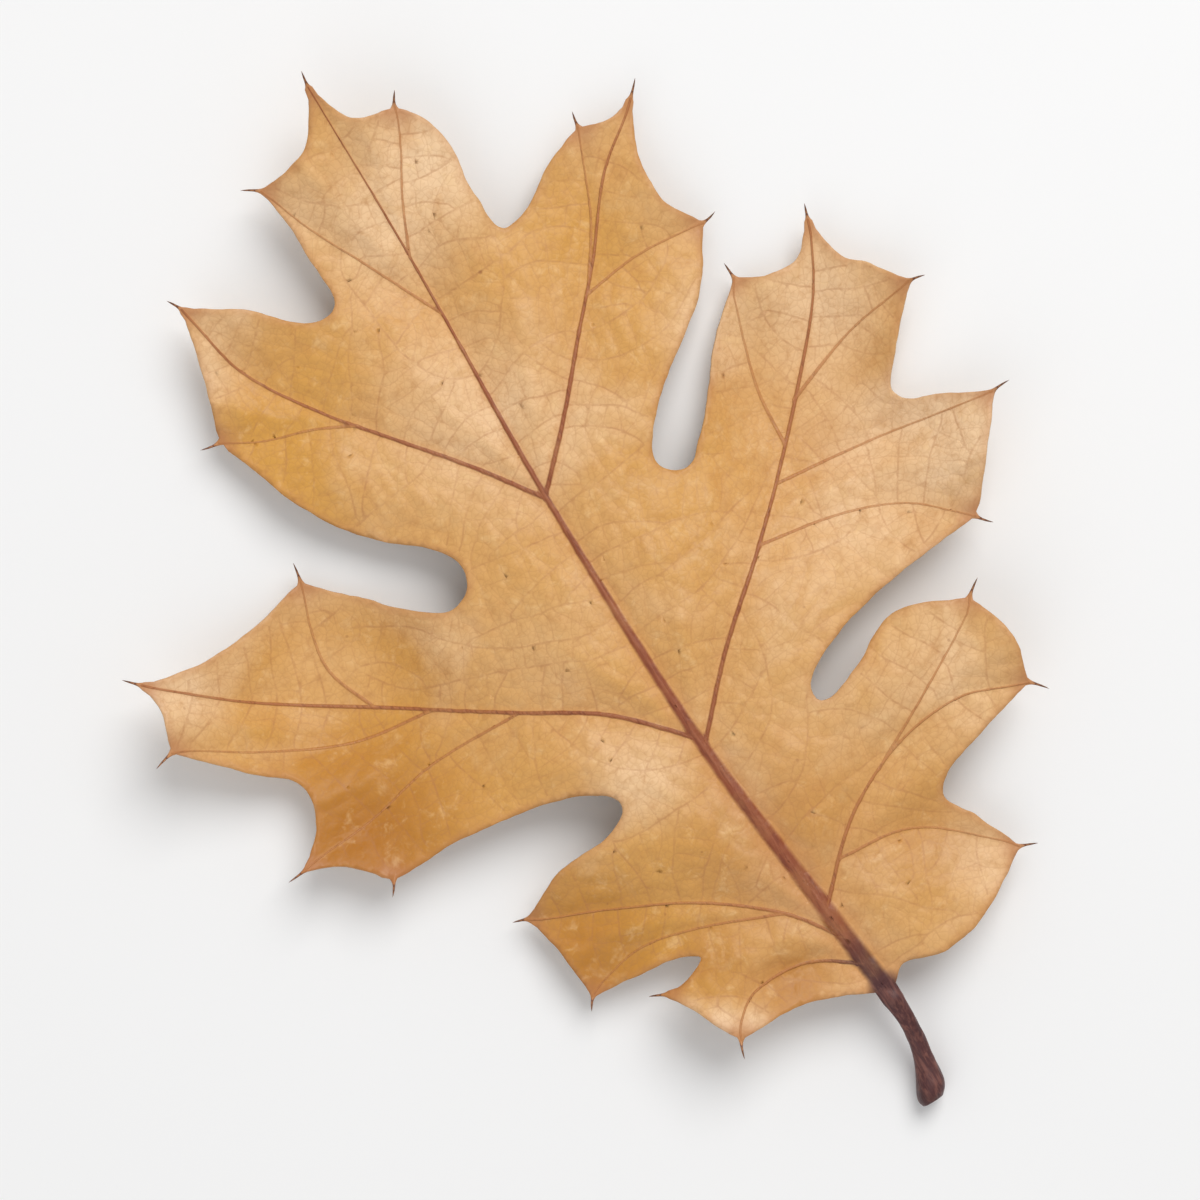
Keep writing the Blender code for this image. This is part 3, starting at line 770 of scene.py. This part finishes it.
class Relief:
    """Heights and marks at every point of the blade."""

    def __init__(self, blade, margin, veins, thickness):
        self.points = blade.points
        self.bristle = blade.bristle
        self.thickness = thickness
        self.measure_veins(veins)
        net = blade.net
        self.net_gap, numbers = self.gap_to([[net.places[i] for i in path] for path in net.paths])
        self.net_tone = np.array(net.tones)[numbers]
        self.edge_gap, _ = self.gap_to([margin.loop + margin.loop[:1]])
        to_teeth = np.linalg.norm(self.points[:, None] - np.array(margin.teeth), axis=2)
        near_tooth = TOOTH_TONE * smooth_step(1.0 - to_teeth.min(axis=1) / TOOTH_REACH)
        darkening = smooth_step(BRISTLE_DARKENING * self.bristle)
        on_bristle = TOOTH_TONE + (1.0 - TOOTH_TONE) * darkening
        self.tooth = np.where(self.bristle > 0.0, on_bristle, near_tooth)
        self.height = self.settle()

    def measure_veins(self, veins):
        count = len(self.points)
        self.above, self.below = np.zeros(count), np.zeros(count)
        self.vein_gap, self.vein_tone = np.full(count, FAR), np.zeros(count)
        self.nearest = np.full(count, np.inf)
        for vein in veins:
            distance, along = to_chain(self.points, vein.chain)
            share = distance / vein.value("spread", along)
            ridge = np.clip(1.0 - share**2, 0.0, None)
            self.above = np.maximum(self.above, ridge * vein.value("above", along))
            self.below = np.maximum(self.below, ridge * vein.value("below", along))
            closer = share < self.vein_gap
            self.vein_tone = np.where(closer, vein.value("tone", along), self.vein_tone)
            self.vein_gap = np.minimum(self.vein_gap, share)
            self.nearest = np.minimum(self.nearest, distance)

    def gap_to(self, lines):
        """Each point's distance to the nearest of some lines, and that line's number."""
        dense, numbers = [], []
        for number, line in enumerate(lines):
            for a, b in zip(line, line[1:]):
                dense.extend(between(a, b, i / LINE_SPLIT) for i in range(LINE_SPLIT))
            dense.append(tuple(line[-1]))
            numbers.extend([number] * (len(dense) - len(numbers)))
        tree = tree_of(dense)
        found = [tree.find((x, y, 0.0)) for x, y in self.points]
        return np.array([gap for _, _, gap in found]), np.array([numbers[i] for _, i, _ in found])

    def settle(self):
        """The middle of the blade's thickness, let down to the floor where the leaf rests."""
        points = self.points
        height = wave_height(points[:, 0], points[:, 1]) + BLADE_LIFT
        height += PANEL_BULGE * smooth_step(self.nearest / PANEL_REACH)
        height -= THIN_BLADE_DROP
        height -= CREASE_DEPTH * np.exp(-((self.nearest / CREASE_REACH) ** 2))
        height += PUCKER * smooth_step(self.net_gap / PUCKER_REACH)
        height += np.array([uneven(p, CRINKLES) for p in points])
        ruffle = np.array([uneven(p, MARGIN_RUFFLE) for p in points])
        height += ruffle * smooth_step(1.0 - self.edge_gap / MARGIN_RUFFLE_REACH)
        height += BRISTLE_LIFT * self.bristle**2
        resting = self.thickness / 2 + SPOT_VEIN_DEPTH
        for spot in REST_SPOTS:
            past = gap_to_place(points, spot) - SPOT_RADIUS
            height += (resting - height) * smooth_step(1.0 - past / (SPOT_REACH - SPOT_RADIUS))
        return height

    def half_thickness(self):
        share = THIN_MARGIN + (1.0 - THIN_MARGIN) * smooth_step(self.edge_gap / THIN_MARGIN_REACH)
        return self.thickness / 2 * share * (1.0 - BRISTLE_THINNING * self.bristle)

    def marks(self):
        return {
            "vein_gap": self.vein_gap,
            "vein_tone": self.vein_tone,
            "net_gap": self.net_gap,
            "net_tone": self.net_tone,
            "edge_gap": self.edge_gap,
            "tooth": self.tooth,
            "panel": smooth_step(self.nearest / PANEL_REACH),
            "stalk": smooth_step(1.0 - gap_to_place(self.points, MIDRIB[0]) / STALK_FADE),
            # The pale mark is the blade's own paler tone together with painted highlight.
            "pale": patches(self.points, PALE_AND_HIGHLIGHT_PATCHES),
            "deep": patches(self.points, DEEP_PATCHES),
            "gold": patches(self.points, GOLD_PATCHES),
        }


def only(kind, items):
    return [item for item in items if isinstance(item, kind)]


def thick_blade(blade, relief):
    """A closed blade, split into the same triangles on its underside and its upper face."""
    bm = bmesh.new()
    layers = {name: bm.verts.layers.float.new(name) for name in MARKS}
    lower = [bm.verts.new((x, y, z)) for (x, y), z in zip(blade.points, relief.height)]
    faces = [bm.faces.new([lower[i] for i in triangle]) for triangle in blade.triangles]
    for name, values in relief.marks().items():
        for vert, value in zip(lower, values):
            vert[layers[name]] = value
    bmesh.ops.recalc_face_normals(bm, faces=faces)
    if sum(face.normal.z for face in faces) < 0.0:
        bmesh.ops.reverse_faces(bm, faces=faces)
    bm.normal_update()
    normals = np.array([v.normal for v in lower])
    half = relief.half_thickness()
    rise = half + relief.above
    net_ridge = NET_BELOW * np.clip(1.0 - relief.net_gap / NET_SPREAD, 0.0, None)
    drop = half + relief.below + net_ridge
    grown = bmesh.ops.extrude_face_region(bm, geom=faces)["geom"]
    number = {(v.co.x, v.co.y): i for i, v in enumerate(lower)}
    for vert in only(bmesh.types.BMVert, grown):
        i = number[(vert.co.x, vert.co.y)]
        vert.co += Vector(normals[i] * rise[i])
    for vert, normal, depth in zip(lower, normals, drop):
        vert.co -= Vector(normal * depth)
        vert[layers["under"]] = 1.0
    bmesh.ops.recalc_face_normals(bm, faces=bm.faces)
    return bm


def stalk_opening(bm, start, end):
    """The blade's rim under the stalk, opened, as the edges round the hole."""
    middle = (start + end) / 2
    across = (start - end).normalized()
    half = (start - end).length / 2 + RIM_TOLERANCE

    def on_base(vert):
        offset = Vector(vert.co[:2]) - middle
        return abs(offset.dot(across)) < half and abs(offset.cross(across)) < RIM_DEPTH_TOLERANCE

    rim = [face for face in bm.faces if len(face.verts) == 4 and all(map(on_base, face.verts))]
    bmesh.ops.delete(bm, geom=rim, context="FACES")
    return [edge for edge in bm.edges if edge.is_boundary]


def stalk_radius(distance):
    """The stalk's radius, with the corners between its sections rounded off."""
    places, radii = zip(*STALK_SECTIONS)
    return sum(np.interp(distance + np.array(STALK_BLUR), places, radii)) / len(STALK_BLUR)


def stalk_centre(distance, joint, joint_height):
    share = distance / STALK_LENGTH
    foot_height = max(radius for _, radius in STALK_SECTIONS) + STALK_CLEARANCE
    return Vector((
        joint.x * (1.0 - share) + STALK_BEND * math.sin(math.pi * share),
        joint.y - distance,
        joint_height + (foot_height - joint_height) * smooth_step(share / STALK_LEVEL_AT),
    ))


def grow_stalk(bm, joint_height):
    """The stalk, grown ring by ring out of the blade's open base to its swollen foot."""
    start, end = Vector(MARGIN_START[0]), Vector(MARGIN_END)
    edges = stalk_opening(bm, start, end)
    stalk_mark = bm.verts.layers.float["stalk"]
    old_centre = middle_of(dict.fromkeys(vert for edge in edges for vert in edge.verts))
    last = STALK_SECTIONS[-1][0]
    count = round(last / STALK_STEP)
    for number in range(1, count + 1):
        distance = last * number / count
        grown = bmesh.ops.extrude_edge_only(bm, edges=edges)["geom"]
        verts = only(bmesh.types.BMVert, grown)
        new = set(verts)
        edges = [edge for edge in only(bmesh.types.BMEdge, grown) if new.issuperset(edge.verts)]
        centre = stalk_centre(distance, (start + end) / 2, joint_height)
        shape_ring(verts, old_centre, centre, distance)
        old_centre = middle_of(verts)
        for vert in verts:
            vert[stalk_mark] = 1.0
    close_foot(bm, edges)


def middle_of(verts):
    return sum((v.co for v in verts), Vector()) / len(verts)


def shape_ring(verts, old_centre, centre, distance):
    """Turns a ring of the stalk from the blade's edge into a round section with a groove on top."""
    radius = stalk_radius(distance)
    roundness = smooth_step(distance / STALK_ROUND_WITHIN)
    past = GROOVE_HALF_LENGTH - abs(distance - GROOVE_MIDDLE)
    groove = GROOVE * smooth_step(past / GROOVE_FADE)
    for vert in verts:
        offset = vert.co - old_centre
        offset.y = 0.0
        direction = offset.normalized()
        around = math.atan2(direction.z, direction.x)
        wrinkle = 0.0
        for height, length in WRINKLES:
            across = (math.cos(around) / length, math.sin(around) / length)
            along = distance / (WRINKLE_STRETCH * length)
            wrinkle += height * noise.noise(Vector((across[0], along, across[1])))
        on_top = smooth_step((direction.z - GROOVE_SIDE) / GROOVE_SLOPE)
        round_offset = direction * (radius + wrinkle - groove * on_top)
        vert.co = centre + offset.lerp(round_offset, roundness)


def close_foot(bm, edges):
    """The rounded foot with the shallow scar where the leaf let go of its twig."""
    stalk_mark, scar_mark = (bm.verts.layers.float[name] for name in ("stalk", "scar"))
    cap = bmesh.ops.edgeloop_fill(bm, edges=edges)["faces"]
    bmesh.ops.recalc_face_normals(bm, faces=bm.faces)
    for thickness, depth, mark in FOOT_END:
        bmesh.ops.inset_region(bm, faces=cap, thickness=thickness, depth=depth)
        for vert in {vert for face in cap for vert in face.verts}:
            vert[stalk_mark], vert[scar_mark] = 1.0, mark
    for vert in bmesh.ops.poke(bm, faces=cap)["verts"]:
        vert[stalk_mark], vert[scar_mark] = 1.0, 1.0


def seat(bm):
    """Moves the leaf from its layout to the frame, and turns millimetres into metres."""
    bmesh.ops.translate(bm, vec=(*LAYOUT_SHIFT, 0.0), verts=bm.verts)
    bmesh.ops.scale(bm, vec=(MM, MM, MM), verts=bm.verts)


def finished_mesh(bm, name):
    mesh = bpy.data.meshes.new(name)
    bm.to_mesh(mesh)
    bm.free()
    return mesh


def leaf_mesh(settings):
    margin = Margin(settings.bristle_length / MM)
    veins = all_veins()
    blade = FlatBlade(margin, veins)
    relief = Relief(blade, margin, veins, settings.blade_thickness / MM)
    bm = thick_blade(blade, relief)
    grow_stalk(bm, relief.height[gap_to_place(blade.points, MIDRIB[0]).argmin()])
    bmesh.ops.recalc_face_normals(bm, faces=bm.faces)
    seat(bm)
    mesh = finished_mesh(bm, "oak_leaf")
    mesh.shade_smooth()
    return mesh


class Shading:
    """A material's nodes, added one by one and joined by their sockets' names."""

    def __init__(self, name):
        self.material = bpy.data.materials.new(name)
        self.material.use_nodes = True
        self.tree = self.material.node_tree
        self.shader = self.tree.nodes["Principled BSDF"]
        self.place = self.add("ShaderNodeTexCoord").outputs["Object"]
        self.colour = None

    def add(self, kind, links=None, **values):
        node = self.tree.nodes.new(kind)
        for key, value in values.items():
            setattr(node, key, value)
        for socket, source in (links or {}).items():
            self.put(node, socket, source)
        return node

    def put(self, node, socket, source):
        if isinstance(source, bpy.types.NodeSocket):
            self.tree.links.new(source, node.inputs[socket])
        else:
            node.inputs[socket].default_value = source

    def math(self, operation, first, second):
        return self.add("ShaderNodeMath", {0: first, 1: second}, operation=operation).outputs[0]

    def plus(self, *sources):
        return functools.reduce(lambda a, b: self.math("ADD", a, b), sources)

    def times(self, *sources):
        return functools.reduce(lambda a, b: self.math("MULTIPLY", a, b), sources)

    def vector(self, operation, first, second):
        links = {0: first, 1: second}
        return self.add("ShaderNodeVectorMath", links, operation=operation).outputs[0]

    def ramp(self, value, low, high, to_low=0.0, to_high=1.0):
        """Maps low..high smoothly to the new range."""
        links = {0: value, 1: low, 2: high, 3: to_low, 4: to_high}
        return self.add("ShaderNodeMapRange", links, interpolation_type="SMOOTHSTEP").outputs[0]

    def mix(self, share, *colours):
        """Goes from the first colour to the second as the share goes from 0 to 1."""
        links = {0: share}
        for socket, colour in zip((6, 7), colours):
            is_socket = isinstance(colour, bpy.types.NodeSocket)
            links[socket] = colour if is_socket else (*colour, 1.0)
        return self.add("ShaderNodeMix", links, data_type="RGBA").outputs[2]

    def noise(self, place, scale, detail, roughness, distortion=0.0):
        links = {"Vector": place, "Scale": scale, "Detail": detail, "Roughness": roughness}
        links["Distortion"] = distortion
        return self.add("ShaderNodeTexNoise", links).outputs["Fac"]

    def paint(self, share, colour):
        """Lays a colour over the layers so far."""
        self.colour = self.mix(share, self.colour, colour)

    def relief(self, layers):
        """Bumps laid on each other: the height, distance and strength of each."""
        links = {}
        for height, distance, strength in layers:
            links.update(Height=height, Distance=distance, Strength=strength)
            links["Normal"] = self.add("ShaderNodeBump", links).outputs["Normal"]
        self.put(self.shader, "Normal", links["Normal"])


def paint_blade(s):
    """Tan, with golden, browner and paler places, the paler partly painted highlight, and clouds.
    """
    settings, panels = s.settings, s.times(s.panel, 0.25)
    gold = s.plus(s.gold, panels, s.ramp(s.broad, 0.6, 0.35, 0.0, 0.35))
    # The pale patches carry painted highlight; the broad noise only adds paler tone.
    pale = s.plus(s.pale, s.ramp(s.broad, 0.5, 0.74, 0.0, 0.5))
    deep = s.plus(s.deep, s.ramp(s.cloud, 0.5, 0.3, 0.0, 0.22))
    s.colour = s.mix(gold, settings.blade_colour, settings.gold_colour)
    # Lays on the paler tone together with the painted highlight.
    s.paint(pale, settings.pale_and_highlight_colour)
    s.paint(deep, settings.deep_colour)
    for name, begins, full, most, colour in MOTTLING:
        s.paint(s.ramp(getattr(s, name), begins, full, 0.0, most), colour)


def paint_net(s):
    """The fine veins, and the finest net between them."""
    warp = s.add("ShaderNodeTexNoise", {"Vector": s.place, "Scale": WARP_SCALE, "Detail": 1.0})
    shift = s.vector("SUBTRACT", warp.outputs["Color"], (0.5, 0.5, 0.5))
    shift = s.vector("MULTIPLY", shift, (WARP, WARP, WARP))
    links = {"Vector": s.vector("ADD", s.place, shift), "Scale": CELL_SCALE}
    cells = s.add("ShaderNodeTexVoronoi", links, feature="DISTANCE_TO_EDGE")
    s.cells = cells.outputs["Distance"]
    s.paint(s.times(s.ramp(s.cells, 0.0, 0.12, 1.0, 0.0), 0.17), FINEST_NET)
    width = s.ramp(s.net_tone, 0.4, 1.0, 0.1, 0.15)
    line = s.times(s.ramp(s.net_gap, width, 0.02), s.net_tone)
    s.net = s.times(line, s.ramp(s.cloud, 0.3, 0.65, 0.35, 1.0))
    s.paint(s.times(s.net, 0.4), FINE_VEIN)


def paint_freckles(s):
    """Small freckles, here and there, off the main veins."""
    off_veins = s.ramp(s.vein_gap, 1.8, 3.0)
    for scale, rarity, size, strength in FRECKLES:
        spots = s.add("ShaderNodeTexVoronoi", {"Vector": s.place, "Scale": scale})
        draw = s.add("ShaderNodeSeparateColor", {0: spots.outputs["Color"]})
        reach = s.ramp(draw.outputs[1], 0.0, 1.0, size * 0.4, size)
        links = {0: spots.outputs["Distance"], 1: reach, 2: 0.0, 4: 2.0}
        speck = s.math("MINIMUM", s.add("ShaderNodeMapRange", links).outputs[0], 1.0)
        chosen = s.ramp(draw.outputs[0], rarity, rarity + 0.02)
        s.paint(s.times(speck, chosen, off_veins, strength), FRECKLE)


def paint_edge(s):
    """The edge is browner, most of all at the teeth, and the bristles are dark."""
    edge = s.ramp(s.edge_gap, 0.0, 0.9, 1.0, 0.0)
    s.paint(s.times(edge, s.ramp(s.cloud, 0.3, 0.6, 0.35, 0.9), 0.5), EDGE)
    s.paint(s.ramp(s.tooth, 0.0, 0.6, 0.0, 0.5), TOOTH)
    s.paint(s.ramp(s.tooth, 0.6, 0.9), BRISTLE)


def paint_veins(s):
    """The main veins: a reddish halo, dark flanks and a crest with a fibrous painted highlight."""
    gap, tone, fibre = s.vein_gap, s.vein_tone, s.fibre
    s.paint(s.times(s.ramp(gap, 1.0, 3.4, 1.0, 0.0), tone, 0.34), VEIN_HALO)
    colour = s.mix(s.ramp(tone, 0.25, 0.85), THIN_VEIN, s.settings.vein_colour)
    colour = s.mix(s.ramp(s.stalk, 0.8, 0.996), colour, s.settings.stalk_colour)
    # The lighter crest is a painted highlight along the vein's ridge, broken up by its fibres.
    crest = s.ramp(gap, 0.1, 0.7, 1.0, 0.0)
    crest = s.times(crest, s.ramp(fibre, 0.35, 0.65, 0.1, 1.0), 0.3)
    colour = s.mix(crest, colour, VEIN_CREST_HIGHLIGHT)
    colour = s.mix(s.ramp(fibre, 0.5, 0.32, 0.0, 0.45), colour, VEIN_SHADE)
    s.vein = s.ramp(gap, 0.7, 1.2, 1.0, 0.0)
    share = s.times(s.vein, s.ramp(tone, 0.15, 0.7, 0.55, 1.0))
    s.paint(s.times(share, s.ramp(s.cloud, 0.3, 0.6, 0.8, 1.0)), colour)


def paint_underside(s):
    """The underside is paler and duller, with lighter veins."""
    colour = s.mix(0.55, s.colour, s.settings.underside_colour)
    veins = s.mix(s.ramp(s.stalk, 0.15, 0.9), UNDER_VEIN, UNDER_MIDRIB)
    colour = s.mix(s.times(s.vein, 0.8), colour, veins)
    colour = s.mix(s.times(s.net, 0.4), colour, UNDER_NET)
    s.paint(s.under, colour)


def paint_stalk(s):
    """The stalk is dark and purplish, with paler fibres and a scar of pale cork."""
    bark = s.mix(s.ramp(s.fibre, 0.42, 0.68), s.settings.stalk_colour, BARK_FIBRE)
    bark = s.mix(s.ramp(s.cloud, 0.55, 0.35, 0.0, 0.5), bark, BARK_SHADE)
    cork = s.mix(s.ramp(s.mottle, 0.42, 0.6), CORK, PALE_CORK)
    bark = s.mix(s.times(s.scar, 0.85), bark, cork)
    s.on_stalk = s.ramp(s.stalk, *BARK_FROM)
    s.paint(s.on_stalk, bark)


def finish_surface(s):
    """Leathery above and dull below, with the relief of the finest net and the fibres."""
    rough = s.ramp(s.cloud, 0.3, 0.7, 0.38, 0.52)
    rough = s.plus(rough, s.times(s.under, 0.2))
    s.put(s.shader, "Roughness", rough)
    s.put(s.shader, "Specular IOR Level", 0.3)
    fibres = s.times(s.fibre, s.math("MAXIMUM", s.vein, s.on_stalk))
    s.relief((
        (s.cells, 0.00005, 0.7),
        (s.fine, 0.00005, 0.6),
        (fibres, 0.00012, 0.7),
        (s.grit, 0.000015, 0.5),
    ))


def dry_leaf_material(settings):
    """The dried leaf, painted layer by layer."""
    s = Shading("dried_leaf")
    s.settings = settings
    for name in MARKS:
        mark = s.add("ShaderNodeAttribute", attribute_name=name)
        setattr(s, name, mark.outputs["Fac"])
    for name, values in NOISES.items():
        setattr(s, name, s.noise(s.place, *values))
    s.fibre = s.noise(s.vector("MULTIPLY", s.place, FIBRE_STRETCH), *FIBRE)
    paint_blade(s)
    paint_net(s)
    paint_freckles(s)
    paint_edge(s)
    paint_veins(s)
    paint_underside(s)
    paint_stalk(s)
    s.put(s.shader, "Base Color", s.colour)
    finish_surface(s)
    return s.material


def floor_material(settings):
    s = Shading("studio_floor")
    grain = s.noise(s.place, 18.0, 4.0, 0.6)
    shaded = [channel * FLOOR_SHADE for channel in settings.floor_colour]
    s.put(s.shader, "Base Color", s.mix(grain, settings.floor_colour, shaded))
    s.put(s.shader, "Roughness", s.ramp(grain, 0.3, 0.7, 0.8, 0.9))
    return s.material


def number_setting(name, description, default, unit="LENGTH"):
    return bpy.props.FloatProperty(name=name, description=description, default=default, unit=unit)


def colour_setting(name, description, *default):
    return bpy.props.FloatVectorProperty(
        name=name, description=description, default=default, size=3, subtype="COLOR"
    )


class LeafSettings(bpy.types.PropertyGroup):
    blade_thickness: number_setting("Blade Thickness", "Thickness between the veins", 0.00028)
    bristle_length: number_setting("Bristle Length", "How far a bristle stands out", 0.0016)
    blade_colour: colour_setting("Blade Colour", "Tan of most of the blade", 0.7, 0.385, 0.145)
    gold_colour: colour_setting("Gold Colour", "Where the blade is golden", 0.66, 0.33, 0.065)
    # The pale colour is the blade's own paler tone and also its painted highlight.
    pale_and_highlight_colour: colour_setting("Pale Colour", "Where the blade is bleached", 0.9, 0.625, 0.375)
    deep_colour: colour_setting("Deep Colour", "Where the blade is browner", 0.46, 0.175, 0.02)
    vein_colour: colour_setting("Vein Colour", "Red brown of the midrib", 0.27, 0.07, 0.028)
    underside_colour: colour_setting("Underside Colour", "Buff of the underside", 0.7, 0.52, 0.34)
    stalk_colour: colour_setting("Stalk Colour", "Purplish brown of the stalk", 0.085, 0.03, 0.03)


class StudioSettings(bpy.types.PropertyGroup):
    floor_colour: colour_setting("Floor Colour", "Pale colour of the floor", 0.91, 0.913, 0.918)
    key_power: number_setting("Key Light", "Power of the soft light, upper right", 5.15, "POWER")
    fill_power: number_setting("Fill Light", "Power of the light opposite", 1.2, "POWER")
    surround: number_setting("Surround", "Strength of the light from all round", 0.46, "NONE")
    view_height: number_setting("View Height", "Height of the camera above the floor", 0.5)
    lens: number_setting("Lens", "Focal length of the camera in millimetres", 165.0, "NONE")


def show(name, data):
    """Puts an object with this data in the scene."""
    item = bpy.data.objects.new(name, data)
    bpy.context.scene.collection.objects.link(item)
    return item


class LEAF_OT_grow(bpy.types.Operator):
    """Grow the oak leaf with its veins, bristles and stalk"""

    bl_idname = "leaf.grow"
    bl_label = "Grow Leaf"

    def execute(self, context):
        settings = context.scene.oak_leaf
        leaf = show("oak_leaf", leaf_mesh(settings))
        leaf.data.materials.append(dry_leaf_material(settings))
        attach(leaf, "root")
        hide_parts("leaf")
        return {"FINISHED"}


class LEAF_OT_studio(bpy.types.Operator):
    """Set up the floor, the lights and the camera"""

    bl_idname = "leaf.studio"
    bl_label = "Set Up Studio"

    def execute(self, context):
        settings = context.scene.leaf_studio
        self.floor(settings)
        self.light(settings.key_power, *KEY_LIGHT)
        self.light(settings.fill_power, *FILL_LIGHT)
        self.surround(settings, context.scene)
        self.camera(settings, context.scene)
        return {"FINISHED"}

    def floor(self, settings):
        bm = bmesh.new()
        bmesh.ops.create_grid(bm, x_segments=1, y_segments=1, size=FLOOR_SIZE)
        floor = show("floor", finished_mesh(bm, "floor"))
        floor.data.materials.append(floor_material(settings))

    def light(self, power, name, place, size, colour):
        data = bpy.data.lights.new(name, "AREA")
        data.shape = "DISK"
        data.size = size
        data.energy = power
        data.color = colour
        light = show(name, data)
        light.location = place
        light.rotation_euler = (-Vector(place)).to_track_quat("-Z", "Y").to_euler()

    def surround(self, settings, scene):
        scene.world = bpy.data.worlds.new("studio")
        scene.world.use_nodes = True
        background = scene.world.node_tree.nodes["Background"]
        background.inputs["Color"].default_value = (1.0, 1.0, 1.0, 1.0)
        background.inputs["Strength"].default_value = settings.surround

    def camera(self, settings, scene):
        data = bpy.data.cameras.new("camera")
        data.lens = settings.lens
        data.sensor_fit = "HORIZONTAL"
        scene.camera = show("camera", data)
        scene.camera.location = (0.0, 0.0, settings.view_height)
        scene.camera.rotation_euler = (0.0, 0.0, CAMERA_TURN)
        scene.view_settings.view_transform = "Standard"


class LEAF_PT_panel(bpy.types.Panel):
    bl_label = "Autumn Oak Leaf"
    bl_idname = "LEAF_PT_panel"
    bl_space_type = "VIEW_3D"
    bl_region_type = "UI"
    bl_category = "Leaf"

    def draw(self, context):
        scene = context.scene
        pairs = (LEAF_OT_grow, scene.oak_leaf), (LEAF_OT_studio, scene.leaf_studio)
        for operator, settings in pairs:
            box = self.layout.box()
            for name in settings.__annotations__:
                box.prop(settings, name)
            box.operator(operator.bl_idname)


CLASSES = (LeafSettings, StudioSettings, LEAF_OT_grow, LEAF_OT_studio, LEAF_PT_panel)


def register():
    for item in CLASSES:
        bpy.utils.register_class(item)
    bpy.types.Scene.oak_leaf = bpy.props.PointerProperty(type=LeafSettings)
    bpy.types.Scene.leaf_studio = bpy.props.PointerProperty(type=StudioSettings)


def unregister():
    del bpy.types.Scene.leaf_studio
    del bpy.types.Scene.oak_leaf
    for item in reversed(CLASSES):
        bpy.utils.unregister_class(item)


def main():
    register()
    bpy.ops.leaf.grow()
    bpy.ops.leaf.studio()


if __name__ == "__main__":
    main()
